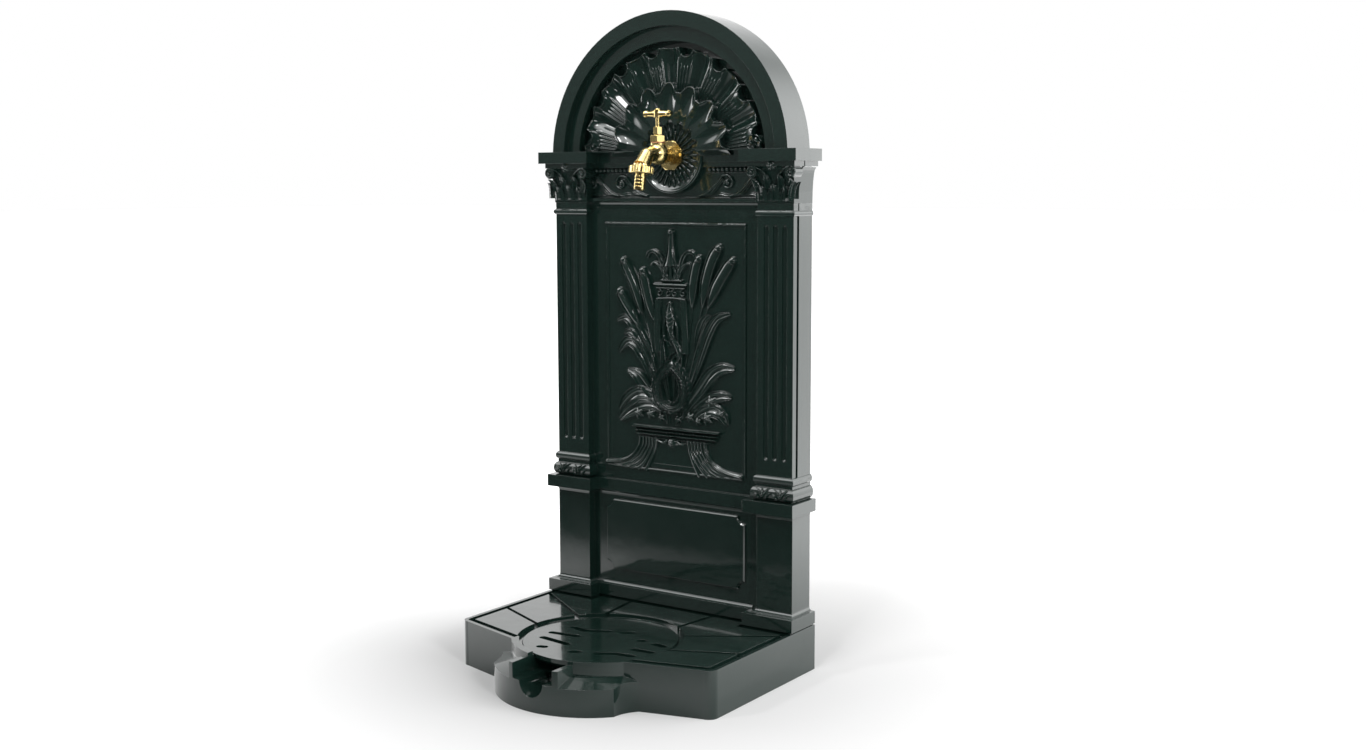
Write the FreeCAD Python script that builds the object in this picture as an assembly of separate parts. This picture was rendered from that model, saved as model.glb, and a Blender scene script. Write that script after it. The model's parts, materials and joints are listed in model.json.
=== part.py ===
import FreeCAD, Part
import math
import os
from FreeCAD import Placement, Rotation, Vector

os.makedirs("parts", exist_ok=True)

# Garden fountain: an arched upright with a bib tap, standing on a tray with a grate.
# Millimetres. X to the right seen from the front, the front faces -Y, +Z is up.
# The sizes are laid out with the back of the upright in the plane Y = 0 and the tray on Z = 0.

# Castings
WALL = 6.0
GAP = 0.3
EPS = 1.0

# Tray
TRAY_HALF = 220.0
TRAY_SIDE = 255.0
TRAY_CORNER = 14.0
TRAY_TOP = 66.0
TRAY_FLOOR = 60.0
TRAY_SKIN = 7.0
RIM_WIDTH = 6.0
PAD_MARGIN = 15.0
PAD_GROOVE = 6.0
PAD_GROOVE_ENDS = ((100, -228, 230, -170), (80, -163, 230, -66), (62, -140, 76, -30))
SEAT_TOP = 68.0
SEAT_INSET = 3.0
BULGE_RADIUS = 130.0
BULGE_BACK = 212.0
BULGE_HALF = 98.0

# Sump, grate and trough, round the middle of the ring
RING_BACK = 220.0
SUMP_RADIUS = 100.0
SUMP_FLOOR = 24.0
SUMP_SKIN = 6.0
GRATE_SEAT_RADIUS = 110.0
GRATE_RADIUS = 109.0
GRATE_BOTTOM = 56.0
GRATE_THICK = 6.0
RING_BAND = 8.0
SLOT_WIDTH = 11.0
GRATE_SLOTS = (
    ((-77, -13), (-37, -7)),
    ((-72, -39), (-25, -45)),
    ((-68, 24), (-43, 21), (-15, 36)),
    ((8, 43), (18, 49)),
    ((78, 22), (94, 20)),
    ((67, -14), (96, -12)),
    ((36, -58), (59, -43), (84, -40)),
    ((3, -70), (11, -65)),
    ((-48, -75), (-42, -73)),
    ((50, 25), (56, 27)),
)
TROUGH_HALF = 34.0
TROUGH_WALL = 8.0
TROUGH_TOP = 61.0
TROUGH_FLOOR = 40.0
TROUGH_FRONT = 374.0
CHANNEL_RADIUS = 20.0
APRON_TOP = 38.0
APRON_LEDGE = 24.0
APRON_SLOPE = 9.0
APRON_RADIUS = 140.0
APRON_HALF = 143.0
APRON_LOBE_HALF = 104.0
APRON_HOLLOW = 11.0
APRON_SHOULDER = 279.0

# Upright, heights of its courses
PLINTH_TOP = 86.0
BEAD_TOP = 92.0
PEDESTAL_TOP = 225.0
BED_TOP = 233.0
MID_TOP = 251.0
LEAF_TOP = 270.0
LEAF_FILLET = 274.0
TORUS_TOP = 286.0
SHAFT_TOP = 652.0
ASTRAGAL_TOP = 660.0
BAND_TOP = 676.0
FRIEZE_TOP = 721.0
CORNICE_BOTTOM = 728.0
CORNICE_TOP = 745.0

# Upright, plan: each course stands out by its own depth from the back plane
BODY_INSET = 9.4
BODY_HALF = TRAY_HALF - BODY_INSET
FIELD = 36.0
PLAQUE_RISE = 5.0
PLAQUE_BEVEL = 2.0
PLAQUE_BOTTOM = 111.0
PLAQUE_TOP = 220.0
PLAQUE_NOTCH = 12.0
PILASTER_INSET = 0.8
PILASTER_WIDTH = 58.4
PILASTER_OUT = BODY_HALF - PILASTER_INSET
PILASTER_IN = PILASTER_OUT - PILASTER_WIDTH
BLOCK_OVERHANG = 14.4
BLOCK_IN = PILASTER_IN - BLOCK_OVERHANG
PLAQUE_MARGIN = 12.0
PLAQUE_HALF = BLOCK_IN - PLAQUE_MARGIN
PILASTER_FRONT = 49.5
PLINTH_FRONT = 66.0
CORNICE_OVERHANG = 14.9
CORNICE_RETURN = 18.1
CORNICE_IN = PILASTER_IN - CORNICE_RETURN
CORNICE_OUT = BODY_HALF + CORNICE_OVERHANG
CORNICE_FRONT = 71.7
CORNICE_MID = 43.0
SIDE_GROOVE = 4.0
FLUTES = 3
FLUTE_RADIUS = 4.0
FLUTE_PITCH = 15.0
FLUTE_BOTTOM = 312.0
FLUTE_TOP = 636.0

# Arch and its niche
ARCH_CENTRE = 736.3
ARCH_INSET = 4.6
ARCH_RADIUS = BODY_HALF - ARCH_INSET
ARCH_BAND = 21.0
ARCH_FRONT = 60.7
ARCH_STEP_RADIUS = ARCH_RADIUS - ARCH_BAND
ARCH_STEP_FRONT = 50.0
NICHE_RADIUS = ARCH_STEP_RADIUS - ARCH_BAND
NICHE_BACK = 30.0

# Shell in the niche
SHELL_MARGIN = 12.5
SHELL_RADIUS = NICHE_RADIUS - SHELL_MARGIN
SHELL_PLATE = 3.5
SHELL_RISE = 12.0
SHELL_INNER_RADIUS = 104.0
SHELL_PITCH = 22.5
SHELL_HUB = 4.0
SHELL_SCALLOP = 0.07
SHELL_CHANNEL = 0.78
SHELL_FLOOR = 2.0
SHELL_SCREW_CIRCLE = 0.74
SHELL_INNER_LIFT = 6.0

# Relief panel
PANEL_MARGIN = 25.9
PANEL_HALF = PILASTER_IN - PANEL_MARGIN
PANEL_BOTTOM = 276.0
PANEL_TOP = 640.5
PANEL_THICK = 4.0
PANEL_LEDGE = 8.0
PANEL_FRAME = 6.0
PANEL_SUNK = 1.0

# Rosette and wall flange
TAP_Z = 738.0
ROSETTE_RADIUS = 55.0
ROSETTE_THICK = 10.0
ROSETTE_HUB = 6.0
ROSETTE_PETALS = 20
FLANGE_FLATS = 41.0
FLANGE_THICK = 5.0

# Tap, a half-inch bib tap with a hose union
TAP_Y = 76.0
BALL_RADIUS = 16.0
BALL_Z = 740.0
SHANK_RADIUS = 10.3
SHANK_END = 17.0
SHANK_BORE = 5.0
COLLAR_RADIUS = 13.5
COLLAR_THICK = 4.0
SEAT_Z = 741.0
SEAT_BORE = 4.5
CHAMBER_RADIUS = 8.5
NECK_RADIUS = 10.5
NECK_TOP = 755.5
BONNET_TOP = 766.0
BONNET_FLATS = 20.0
GLAND_TOP = 778.0
GLAND_FLATS = 12.0
GLAND_NECK_RADIUS = 5.2
STEM_RADIUS = 3.0
SCREW_RADIUS = 4.5
RUNNING = 0.05
TEE_Z = 796.5
TEE_HALF = 24.0
TEE_RADIUS = 4.8
TEE_END_RADIUS = 5.2
SPOUT_RADIUS = 10.0
SPOUT_SWELL = 1.5
SPOUT_BEAD = 2.0
KNEE_Y = 103.0
KNEE_Z = 738.0
SPOUT_BORE = 5.5
UNION_Y = 115.5
UNION_Z = 722.5
UNION_TILT = 10.0
THREAD_RADIUS = 13.1
THREAD_DEPTH = 0.4
THREAD_LENGTH = 6.5
NUT_START = 1.0
NUT_LIP = 1.8
NUT_RADIUS = 17.5
NUT_CHAMFER = 1.2
NUT_GROOVES = 24
NUT_GROOVE_RADIUS = 1.2
TAIL_RADIUS = 8.5
TAIL_BORE = 5.0
TAIL_END = 34.0
TAIL_BARBS = 4
TAIL_LAND = 1.2
TAIL_COLLAR = 12.2
TAIL_COLLAR_THICK = 1.5
UNION_WASHER = 1.5

# Riser behind the upright
PIPE_Y = 13.0
PIPE_RADIUS = 7.5
PIPE_WALL = 1.0
PIPE_BOTTOM = 131.0
PIPE_TOP = 727.0
ELBOW_RADIUS = 9.5
ELBOW_FACE = 24.3
CAP_FLATS = 22.0
CAP_LENGTH = 16.0
INLET_BOTTOM = 98.0
INLET_RADIUS = 10.48
CLIP_LEVELS = (262.0, 650.0)
CLIP_HALF = 20.0
CLIP_HEIGHT = 12.0
CLIP_STRIP = 2.0
CLIP_SCREW_X = 14.5

# Fasteners
BOLT_MARGIN = 16.2
BOLT_XS = (PILASTER_IN + BOLT_MARGIN, PILASTER_OUT - BOLT_MARGIN)
BOLT_Y = 17.0
BOLT_RADIUS = 4.0
BOLT_FLATS = 13.0
BOLT_HEAD = 5.3
NUT_HEIGHT = 6.5
WASHER_RADIUS = 8.0
WASHER_THICK = 1.6
LUG_TOP = 76.0
SCREW = 2.0
SCREW_HEAD = 4.0
SCREW_HEAD_THICK = 2.6

UP = Vector(0, 0, 1)
BACK = Vector(0, 1, 0)
RIGHT = Vector(1, 0, 0)


def box(x0, x1, y0, y1, z0, z1):
    return Part.makeBox(x1 - x0, y1 - y0, z1 - z0, Vector(x0, y0, z0))


def rod(radius, start, direction, length):
    return Part.makeCylinder(radius, length, start, direction)


def tube(outer, inner, start, direction, length):
    return rod(outer, start, direction, length).cut(rod(inner, start, direction, length))


def prism(sides, flats, start, direction, length, turn=0.0):
    """A regular prism of the given width across its flats."""
    radius = flats / 2 / math.cos(math.pi / sides)
    points = []
    for i in range(sides + 1):
        a = math.radians(turn) + 2 * math.pi * i / sides
        points.append(Vector(radius * math.cos(a), radius * math.sin(a), 0))
    shape = Part.Face(Part.makePolygon(points)).extrude(Vector(0, 0, length))
    shape.Placement = Placement(start, Rotation(UP, direction))
    return shape


def chamfered_nut(sides, flats, start, direction, length, turn=0.0):
    """A prism whose corners are turned down at both ends."""
    corner = flats / 2 / math.cos(math.pi / sides)
    slope = (corner - flats / 2) * 0.6
    profile = [(0, 0), (flats / 2, 0), (corner, slope), (corner, length - slope), (flats / 2, length), (0, length)]
    turned = revolve(profile, start, direction)
    return prism(sides, flats, start, direction, length, turn).common(turned)


def revolve(profile, start, direction):
    """Turns a closed (radius, height) outline about the axis."""
    points = [Vector(r, 0, h) for r, h in profile]
    face = Part.Face(Part.makePolygon(points + [points[0]]))
    shape = face.revolve(Vector(0, 0, 0), UP, 360)
    shape.Placement = Placement(start, Rotation(UP, direction))
    return shape


def both(shape):
    """The shape and its mirror image on the left side."""
    return [shape, shape.mirror(Vector(0, 0, 0), RIGHT)]


def fuse(shapes):
    result = shapes[0].multiFuse(shapes[1:]) if len(shapes) > 1 else shapes[0]
    return result.removeSplitter()


def loft(rectangles):
    """A ruled loft through rectangles (x0, x1, front, z) that all reach the back plane."""
    wires = []
    for x0, x1, front, z in rectangles:
        corners = [Vector(x0, -front, z), Vector(x1, -front, z), Vector(x1, 0, z), Vector(x0, 0, z)]
        wires.append(Part.makePolygon(corners + [corners[0]]))
    return Part.makeLoft(wires, True, True)


def moulding(low, high, z0, z1, form, steps=5):
    """A block between two plans (x0, x1, front) whose outline follows a moulding curve."""
    rectangles = []
    for i in range(steps + 1):
        t = i / steps
        a = t * math.pi / 2
        share = {"cavetto": 1 - math.cos(a), "ovolo": math.sin(a), "slope": t}[form]
        z = z0 + (z1 - z0) * ({"cavetto": math.sin(a), "ovolo": 1 - math.cos(a), "slope": t}[form])
        rectangles.append([lo + (hi - lo) * share for lo, hi in zip(low, high)] + [z])
    return loft(rectangles)


def torus_block(x0, x1, front, swell, z0, z1, steps=6):
    """A block with half-round sides that swell out of the plan."""
    rectangles = []
    for i in range(steps + 1):
        a = math.pi * i / steps
        out = swell * math.sin(a)
        z = z0 + (z1 - z0) * (1 - math.cos(a)) / 2
        rectangles.append([x0 - out, x1 + out, front + out, z])
    return loft(rectangles)


def blocks(x0, x1, front, z0, z1):
    return both(box(x0, x1, -front, 0, z0, z1))


def export(shape, name):
    """The origin lies under the middle of the whole fountain, halfway from its back to its trough's front."""
    shape.translated(Vector(0, TROUGH_FRONT / 2, 0)).exportStep("parts/" + name + ".step")


def group(shapes):
    return Part.makeCompound(shapes)


# Tray

def arc(start, middle, end):
    return Part.Arc(start, middle, end).toShape()


def line(start, end):
    return Part.LineSegment(start, end).toShape()


def tray_outline():
    """Square at the back, slanted fronts, and a round bulge in front of the ring."""
    front_y = -BULGE_BACK - math.sqrt(BULGE_RADIUS ** 2 - BULGE_HALF ** 2)
    corner_y = -TRAY_SIDE - TRAY_CORNER
    a = Vector(TRAY_HALF, 0, 0)
    b = Vector(TRAY_HALF, -TRAY_SIDE, 0)
    turn = TRAY_CORNER * (1 - math.sqrt(0.5))
    c = Vector(TRAY_HALF - turn, corner_y + turn, 0)
    d = Vector(TRAY_HALF - TRAY_CORNER, corner_y, 0)
    e = Vector(BULGE_HALF, front_y, 0)
    tip = Vector(0, -BULGE_BACK - BULGE_RADIUS, 0)

    def left(v):
        return Vector(-v.x, v.y, v.z)

    edges = [line(a, b), arc(b, c, d), line(d, e), arc(e, tip, left(e)), line(left(e), left(d)),
             arc(left(d), left(c), left(b)), line(left(b), left(a)), line(left(a), a)]
    return Part.Wire(edges)


def apron_outline():
    """A bow-shaped lobe with hollow shoulders."""
    centre = TROUGH_FRONT - APRON_RADIUS
    lobe_y = -centre - math.sqrt(APRON_RADIUS ** 2 - APRON_LOBE_HALF ** 2)
    a = Vector(APRON_HALF, -TRAY_SIDE, 0)
    b = Vector(APRON_HALF, -APRON_SHOULDER, 0)
    d = Vector(APRON_LOBE_HALF, lobe_y, 0)
    chord = (b - d).normalize()
    side = Vector(-chord.y, chord.x, 0)
    c = (b + d) * 0.5 + side * APRON_HOLLOW
    tip = Vector(0, -TROUGH_FRONT, 0)

    def left(v):
        return Vector(-v.x, v.y, v.z)

    edges = [line(a, b), arc(b, c, d), arc(d, tip, left(d)), arc(left(d), left(c), left(b)),
             line(left(b), left(a)), line(left(a), a)]
    return Part.Wire(edges)


def plate(wire, inset, z0, z1):
    """An extruded outline, drawn in by an inset."""
    if inset:
        wire = wire.makeOffset2D(-inset)
    shape = Part.Face(wire).extrude(Vector(0, 0, z1 - z0))
    shape.translate(Vector(0, 0, z0))
    return shape


def bar_between(x0, y0, x1, y1, width, z0, z1):
    """A straight bar in plan from one point to another."""
    length = math.hypot(x1 - x0, y1 - y0)
    shape = Part.makeBox(length, width, z1 - z0, Vector(0, -width / 2, z0))
    shape.Placement = Placement(Vector(x0, y0, 0), Rotation(UP, math.degrees(math.atan2(y1 - y0, x1 - x0))))
    return shape


def plinth_plan(inset, z0, z1):
    """The foot of the upright in plan, drawn in by an inset."""
    middle = box(-BLOCK_IN, BLOCK_IN, -CORNICE_MID + inset, 0, z0, z1)
    ends = blocks(BLOCK_IN + inset, TRAY_HALF - inset, PLINTH_FRONT - inset, z0, z1)
    return fuse([middle] + ends)


def make_tray():
    ring = Vector(0, -RING_BACK, 0)
    body = plate(tray_outline(), 0, 0, TRAY_FLOOR)
    rim = plate(tray_outline(), 0, TRAY_FLOOR, TRAY_TOP)
    rim = rim.cut(plate(tray_outline(), RIM_WIDTH, TRAY_FLOOR, TRAY_TOP))
    bow = plate(apron_outline(), 0, 0, TROUGH_TOP)
    apron = plate(apron_outline(), 0, 0, APRON_TOP)
    slope = Part.makeCone(APRON_RADIUS, APRON_RADIUS - APRON_LEDGE, APRON_SLOPE,
                          Vector(0, APRON_RADIUS - TROUGH_FRONT, APRON_TOP))
    apron = apron.fuse(slope.common(bow))
    trough = box(-TROUGH_HALF - TROUGH_WALL, TROUGH_HALF + TROUGH_WALL, -TROUGH_FRONT, -RING_BACK, 0, TROUGH_TOP)
    trough = trough.common(fuse([bow, body]))
    seat = plinth_plan(SEAT_INSET, TRAY_FLOOR, SEAT_TOP)

    pads = plate(tray_outline(), PAD_MARGIN, TRAY_FLOOR, TRAY_TOP)
    pads = pads.cut(rod(GRATE_SEAT_RADIUS + RING_BAND, ring + UP * TRAY_FLOOR, UP, TRAY_TOP))
    pads = pads.cut(plinth_plan(-PAD_GROOVE, TRAY_FLOOR, TRAY_TOP))
    grooves = []
    for x0, y0, x1, y1 in PAD_GROOVE_ENDS:
        grooves += both(bar_between(x0, y0, x1, y1, PAD_GROOVE, TRAY_FLOOR, TRAY_TOP + EPS))
    pads = pads.cut(grooves)

    ring_rim = tube(BULGE_RADIUS - 2, GRATE_SEAT_RADIUS + RING_BAND, Vector(0, -BULGE_BACK - 2, TRAY_FLOOR), UP,
                    TRAY_TOP - TRAY_FLOOR)
    ring_rim = ring_rim.common(box(-BULGE_HALF, BULGE_HALF, -TROUGH_FRONT, -RING_BACK - 64, 0, TRAY_TOP))

    tray = fuse([body, rim, apron, trough, seat, pads, ring_rim])

    under = plate(tray_outline(), TRAY_SKIN, -EPS, TRAY_FLOOR - TRAY_SKIN)
    under_apron = plate(apron_outline(), TRAY_SKIN, -EPS, APRON_TOP - TRAY_SKIN)
    cup = rod(SUMP_RADIUS + SUMP_SKIN, ring + UP * (SUMP_FLOOR - SUMP_SKIN), UP, TRAY_FLOOR)
    channel_out = CHANNEL_RADIUS + SUMP_SKIN
    run = TROUGH_FRONT - RING_BACK
    gutter = rod(channel_out, Vector(0, -TROUGH_FRONT, TROUGH_FLOOR), BACK, run)
    deck = box(-TROUGH_HALF - TROUGH_WALL, TROUGH_HALF + TROUGH_WALL, -TROUGH_FRONT, -RING_BACK,
               TROUGH_FLOOR - SUMP_SKIN, TRAY_TOP)
    hollow = under.fuse(under_apron).cut([cup, gutter, deck])
    tray = tray.cut(hollow)

    cuts = [
        rod(SUMP_RADIUS, ring + UP * SUMP_FLOOR, UP, TRAY_TOP),
        rod(GRATE_SEAT_RADIUS, ring + UP * GRATE_BOTTOM, UP, TRAY_TOP),
        box(-TROUGH_HALF, TROUGH_HALF, -TROUGH_FRONT - EPS, -RING_BACK, TROUGH_FLOOR, TRAY_TOP + EPS),
        rod(CHANNEL_RADIUS, Vector(0, -TROUGH_FRONT - EPS, TROUGH_FLOOR), BACK, run),
    ]
    for x in BOLT_XS:
        cuts += both(rod(BOLT_RADIUS + 0.5, Vector(x, -BOLT_Y, 0), UP, SEAT_TOP + EPS))
    return tray.cut(cuts).removeSplitter()


def slot(points, width, z0, z1):
    """A slot with round ends along a line or a bent line in plan."""
    parts = [rod(width / 2, Vector(x, y, z0), UP, z1 - z0) for x, y in points]
    for start, end in zip(points, points[1:]):
        bar = bar_between(*start, *end, width, 0, z1 - z0)
        parts.append(bar.translated(Vector(0, 0, z0)))
    return fuse(parts)


def make_grate():
    """A lift-out disc: straight and bent slots round a plain middle."""
    top = GRATE_BOTTOM + GRATE_THICK
    disc = rod(GRATE_RADIUS, Vector(0, 0, GRATE_BOTTOM), UP, GRATE_THICK)
    cuts = [slot(points, SLOT_WIDTH, GRATE_BOTTOM - EPS, top + EPS) for points in GRATE_SLOTS]
    grate = disc.cut(cuts)
    grate.translate(Vector(0, -RING_BACK, 0))
    return grate


# Upright

def make_courses():
    """The outside of the upright below the arch, course by course."""
    parts = [box(-BODY_HALF, BODY_HALF, -FIELD, 0, SEAT_TOP, CORNICE_TOP)]
    pedestal = (PILASTER_IN, BODY_HALF, PILASTER_FRONT)
    plinth = (BLOCK_IN, TRAY_HALF, PLINTH_FRONT)

    parts += blocks(*plinth, SEAT_TOP, PLINTH_TOP)
    bead = (BLOCK_IN + 5, TRAY_HALF - 5, PLINTH_FRONT - 8)
    parts += both(moulding(bead, pedestal, PLINTH_TOP, BEAD_TOP, "ovolo"))
    parts.append(box(-BLOCK_IN, BLOCK_IN, -CORNICE_MID, 0, SEAT_TOP, PLINTH_TOP))
    parts.append(moulding((-BLOCK_IN, BLOCK_IN, CORNICE_MID - 2), (-BLOCK_IN, BLOCK_IN, FIELD), PLINTH_TOP, BEAD_TOP,
                          "ovolo"))

    parts += blocks(*pedestal, BEAD_TOP, PEDESTAL_TOP)
    bed = (BLOCK_IN + 5, TRAY_HALF - 5, PLINTH_FRONT - 7)
    parts += both(moulding(pedestal, bed, PEDESTAL_TOP, BED_TOP, "cavetto"))
    parts += blocks(*plinth, BED_TOP, MID_TOP)
    parts.append(moulding((-BLOCK_IN, BLOCK_IN, FIELD), (-BLOCK_IN, BLOCK_IN, CORNICE_MID - 2), PEDESTAL_TOP, BED_TOP,
                          "cavetto"))
    parts.append(box(-BLOCK_IN, BLOCK_IN, -CORNICE_MID, 0, BED_TOP, MID_TOP))

    shaft = (PILASTER_IN, PILASTER_OUT, PILASTER_FRONT)
    x0, x1, front = shaft
    parts += both(torus_block(x0 - 1, x1, front + 1, 6, MID_TOP, LEAF_TOP))
    parts += blocks(x0 - 1, x1 + 1, front + 1, LEAF_TOP, LEAF_FILLET)
    parts += both(torus_block(x0, x1, front, 4, LEAF_FILLET, TORUS_TOP))
    parts += blocks(*shaft, TORUS_TOP - EPS, CORNICE_BOTTOM)
    parts += both(torus_block(x0, x1, front, 3, SHAFT_TOP, ASTRAGAL_TOP))

    bell = (x0 - 2, x1 + 1, front + 1)
    parts += both(moulding(bell, (x0 - 9, x1 + 7, front + 12), BAND_TOP - 6, FRIEZE_TOP, "cavetto"))
    parts += blocks(x0 - 11, x1 + 9, front + 14, FRIEZE_TOP, CORNICE_BOTTOM)
    for sx in (x0 - 2, x1 + 1):
        volute = rod(8.0, Vector(sx, -front - 13, FRIEZE_TOP - 8), BACK, 22)
        parts += both(volute)

    parts += blocks(CORNICE_IN, CORNICE_OUT, CORNICE_FRONT, CORNICE_BOTTOM, CORNICE_TOP)
    parts.append(box(-CORNICE_IN, CORNICE_IN, -CORNICE_MID, 0, CORNICE_BOTTOM, CORNICE_TOP))
    parts.append(box(-PILASTER_IN, PILASTER_IN, -CORNICE_MID + 2, 0, FRIEZE_TOP, CORNICE_BOTTOM))
    parts.append(moulding((-PILASTER_IN, PILASTER_IN, FIELD), (-PILASTER_IN, PILASTER_IN, CORNICE_MID), ASTRAGAL_TOP,
                          BAND_TOP - 4, "cavetto"))
    parts.append(box(-PILASTER_IN, PILASTER_IN, -CORNICE_MID, 0, BAND_TOP - 4, BAND_TOP))
    side_low = (0, BODY_HALF, FIELD)
    side_high = (0, CORNICE_OUT - 6, FIELD)
    parts += both(moulding(side_low, side_high, FRIEZE_TOP - 30, FRIEZE_TOP, "cavetto"))
    parts += both(box(0, CORNICE_OUT - 6, -FIELD, 0, FRIEZE_TOP, CORNICE_BOTTOM))
    return fuse(parts)


def half_disc(radius, y0, y1, floor):
    """The part above a floor of a disc about the arch's centre, between two planes of Y."""
    disc = rod(radius, Vector(0, y0, ARCH_CENTRE), BACK, y1 - y0)
    return disc.common(box(-radius - EPS, radius + EPS, y0, y1, floor, ARCH_CENTRE + radius + EPS))


def make_plaque():
    """A raised rectangle with hollow quarter-round corners."""
    front = FIELD + PLAQUE_RISE
    slab = box(-PLAQUE_HALF, PLAQUE_HALF, -front, -FIELD + EPS, PLAQUE_BOTTOM, PLAQUE_TOP)
    corners = []
    for x in (-PLAQUE_HALF, PLAQUE_HALF):
        for z in (PLAQUE_BOTTOM, PLAQUE_TOP):
            corners.append(rod(PLAQUE_NOTCH, Vector(x, -front - EPS, z), BACK, PLAQUE_RISE + 2 * EPS))
    slab = slab.cut(corners)
    rim = [e for e in slab.Edges if abs(e.BoundBox.YMin + front) < GAP and abs(e.BoundBox.YMax + front) < GAP]
    return slab.makeChamfer(PLAQUE_BEVEL, rim)


def flute_cuts():
    cuts = []
    middle = (PILASTER_IN + PILASTER_OUT) / 2
    for i in range(FLUTES):
        x = middle + (i - (FLUTES - 1) / 2) * FLUTE_PITCH
        groove = rod(FLUTE_RADIUS, Vector(x, -PILASTER_FRONT, FLUTE_BOTTOM), UP, FLUTE_TOP - FLUTE_BOTTOM)
        ends = [Part.makeSphere(FLUTE_RADIUS, Vector(x, -PILASTER_FRONT, z)) for z in (FLUTE_BOTTOM, FLUTE_TOP)]
        cuts += both(fuse([groove] + ends))
    return cuts


def make_upright():
    courses = make_courses().fuse(make_plaque())
    arch = half_disc(ARCH_RADIUS, -ARCH_FRONT, 0, CORNICE_TOP - EPS)
    outside = fuse([courses, arch])

    front_cuts = [
        half_disc(ARCH_STEP_RADIUS, -ARCH_FRONT - EPS, -ARCH_STEP_FRONT, CORNICE_TOP),
        half_disc(NICHE_RADIUS, -ARCH_STEP_FRONT - EPS, -NICHE_BACK, CORNICE_TOP),
    ]
    front_cuts += both(box(PILASTER_OUT - SIDE_GROOVE, BODY_HALF + EPS, -FIELD - SIDE_GROOVE, -FIELD, TORUS_TOP,
                           SHAFT_TOP))
    front_cuts += flute_cuts()
    upright = outside.cut(front_cuts)

    tap = Vector(0, 0, TAP_Z)
    pocket = rod(ROSETTE_RADIUS + GAP, tap - BACK * CORNICE_FRONT, BACK, CORNICE_FRONT - FIELD)
    boss = rod(ROSETTE_RADIUS + GAP, tap - BACK * FIELD, BACK, FIELD - NICHE_BACK + WALL)
    upright = upright.cut(pocket).fuse(boss)

    inner = BODY_HALF - WALL
    back = FIELD - WALL
    shelf = CORNICE_TOP - WALL
    hollow = [
        box(-inner, inner, -back, EPS, LUG_TOP, shelf),
        box(-BLOCK_IN, BLOCK_IN, -back, EPS, SEAT_TOP - EPS, LUG_TOP + EPS),
        box(-inner, inner, -NICHE_BACK + WALL, EPS, shelf - EPS, CORNICE_TOP + WALL),
        half_disc(ARCH_RADIUS - WALL, -NICHE_BACK + WALL, EPS, CORNICE_TOP),
        half_disc(ARCH_RADIUS - WALL, -ARCH_STEP_FRONT + WALL, EPS, CORNICE_TOP + WALL).cut(
            half_disc(NICHE_RADIUS + WALL, -ARCH_FRONT, EPS, CORNICE_TOP - EPS)),
        half_disc(ARCH_RADIUS - WALL, -ARCH_FRONT + WALL, EPS, CORNICE_TOP + WALL).cut(
            half_disc(ARCH_STEP_RADIUS + WALL, -ARCH_FRONT, EPS, CORNICE_TOP - EPS)),
        rod(ROSETTE_RADIUS - WALL, tap - BACK * back, BACK, back + EPS),
    ]
    for z0, z1 in ((BEAD_TOP, MID_TOP - WALL), (MID_TOP, CORNICE_BOTTOM)):
        hollow += both(box(PILASTER_IN + WALL, PILASTER_OUT - WALL, -PILASTER_FRONT + WALL, EPS, z0, z1))
    upright = upright.cut(hollow)

    ribs = []
    rib_front = -back - EPS
    for x in (PILASTER_IN + WALL / 2,):
        ribs += both(box(x - WALL / 2, x, rib_front, -4, LUG_TOP - EPS, shelf))
    for z in CLIP_LEVELS:
        ribs.append(box(-PILASTER_IN, PILASTER_IN, rib_front, -back + 7, z - 2.5, z + 2.5))
        ribs.append(box(-CLIP_HALF, CLIP_HALF, rib_front, -PIPE_Y - PIPE_RADIUS, z - CLIP_HEIGHT / 2,
                        z + CLIP_HEIGHT / 2))
    upright = fuse([upright] + ribs)

    ledge = PANEL_LEDGE
    window = [
        box(-PANEL_HALF + ledge, PANEL_HALF - ledge, -FIELD - EPS, -back + EPS, PANEL_BOTTOM + ledge, PANEL_TOP - ledge),
        box(-PANEL_HALF - GAP, PANEL_HALF + GAP, -FIELD - EPS, -FIELD + PANEL_THICK - 1, PANEL_BOTTOM - GAP,
            PANEL_TOP + GAP),
        rod(SHANK_RADIUS + 0.7, tap - BACK * FIELD * 1.1, BACK, FIELD),
    ]
    for x, z in panel_screw_places():
        window.append(rod(SCREW + 0.3, Vector(x, -FIELD, z), BACK, FIELD))
    for x, z in shell_screw_places():
        window.append(rod(SCREW + 0.3, Vector(x, -FIELD, z), BACK, FIELD))
    for z in CLIP_LEVELS:
        for x in (-CLIP_SCREW_X, CLIP_SCREW_X):
            window.append(rod(SCREW, Vector(x, -PIPE_Y - PIPE_RADIUS - 7, z), BACK, 10))
    for x in BOLT_XS:
        window += both(rod(BOLT_RADIUS + 0.5, Vector(x, -BOLT_Y, SEAT_TOP - EPS), UP, WALL + 5))
    return upright.cut(window).removeSplitter()


def panel_screw_places():
    x = PANEL_HALF - PANEL_LEDGE / 2
    low = PANEL_BOTTOM + 20
    high = PANEL_TOP - 20
    return [(s * x, z) for s in (-1, 1) for z in (low, (low + high) / 2, high)]


def shell_screw_places():
    places = []
    for degrees in (30, 70, 110, 150):
        a = math.radians(degrees)
        reach = SHELL_RADIUS * SHELL_SCREW_CIRCLE
        places.append((reach * math.cos(a), ARCH_CENTRE + reach * math.sin(a)))
    return places


def make_panel():
    """The cast panel that carries the relief, let into its window from the front."""
    front = FIELD + PANEL_THICK - 3
    back = front - PANEL_THICK
    panel = box(-PANEL_HALF, PANEL_HALF, -front, -back, PANEL_BOTTOM, PANEL_TOP)
    frame = PANEL_FRAME
    sunk = box(-PANEL_HALF + frame, PANEL_HALF - frame, -front - EPS, -front + PANEL_SUNK, PANEL_BOTTOM + frame,
               PANEL_TOP - frame)
    holes = [rod(SCREW, Vector(x, -back - 2.5, z), BACK, 3) for x, z in panel_screw_places()]
    return panel.cut([sunk] + holes)


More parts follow.
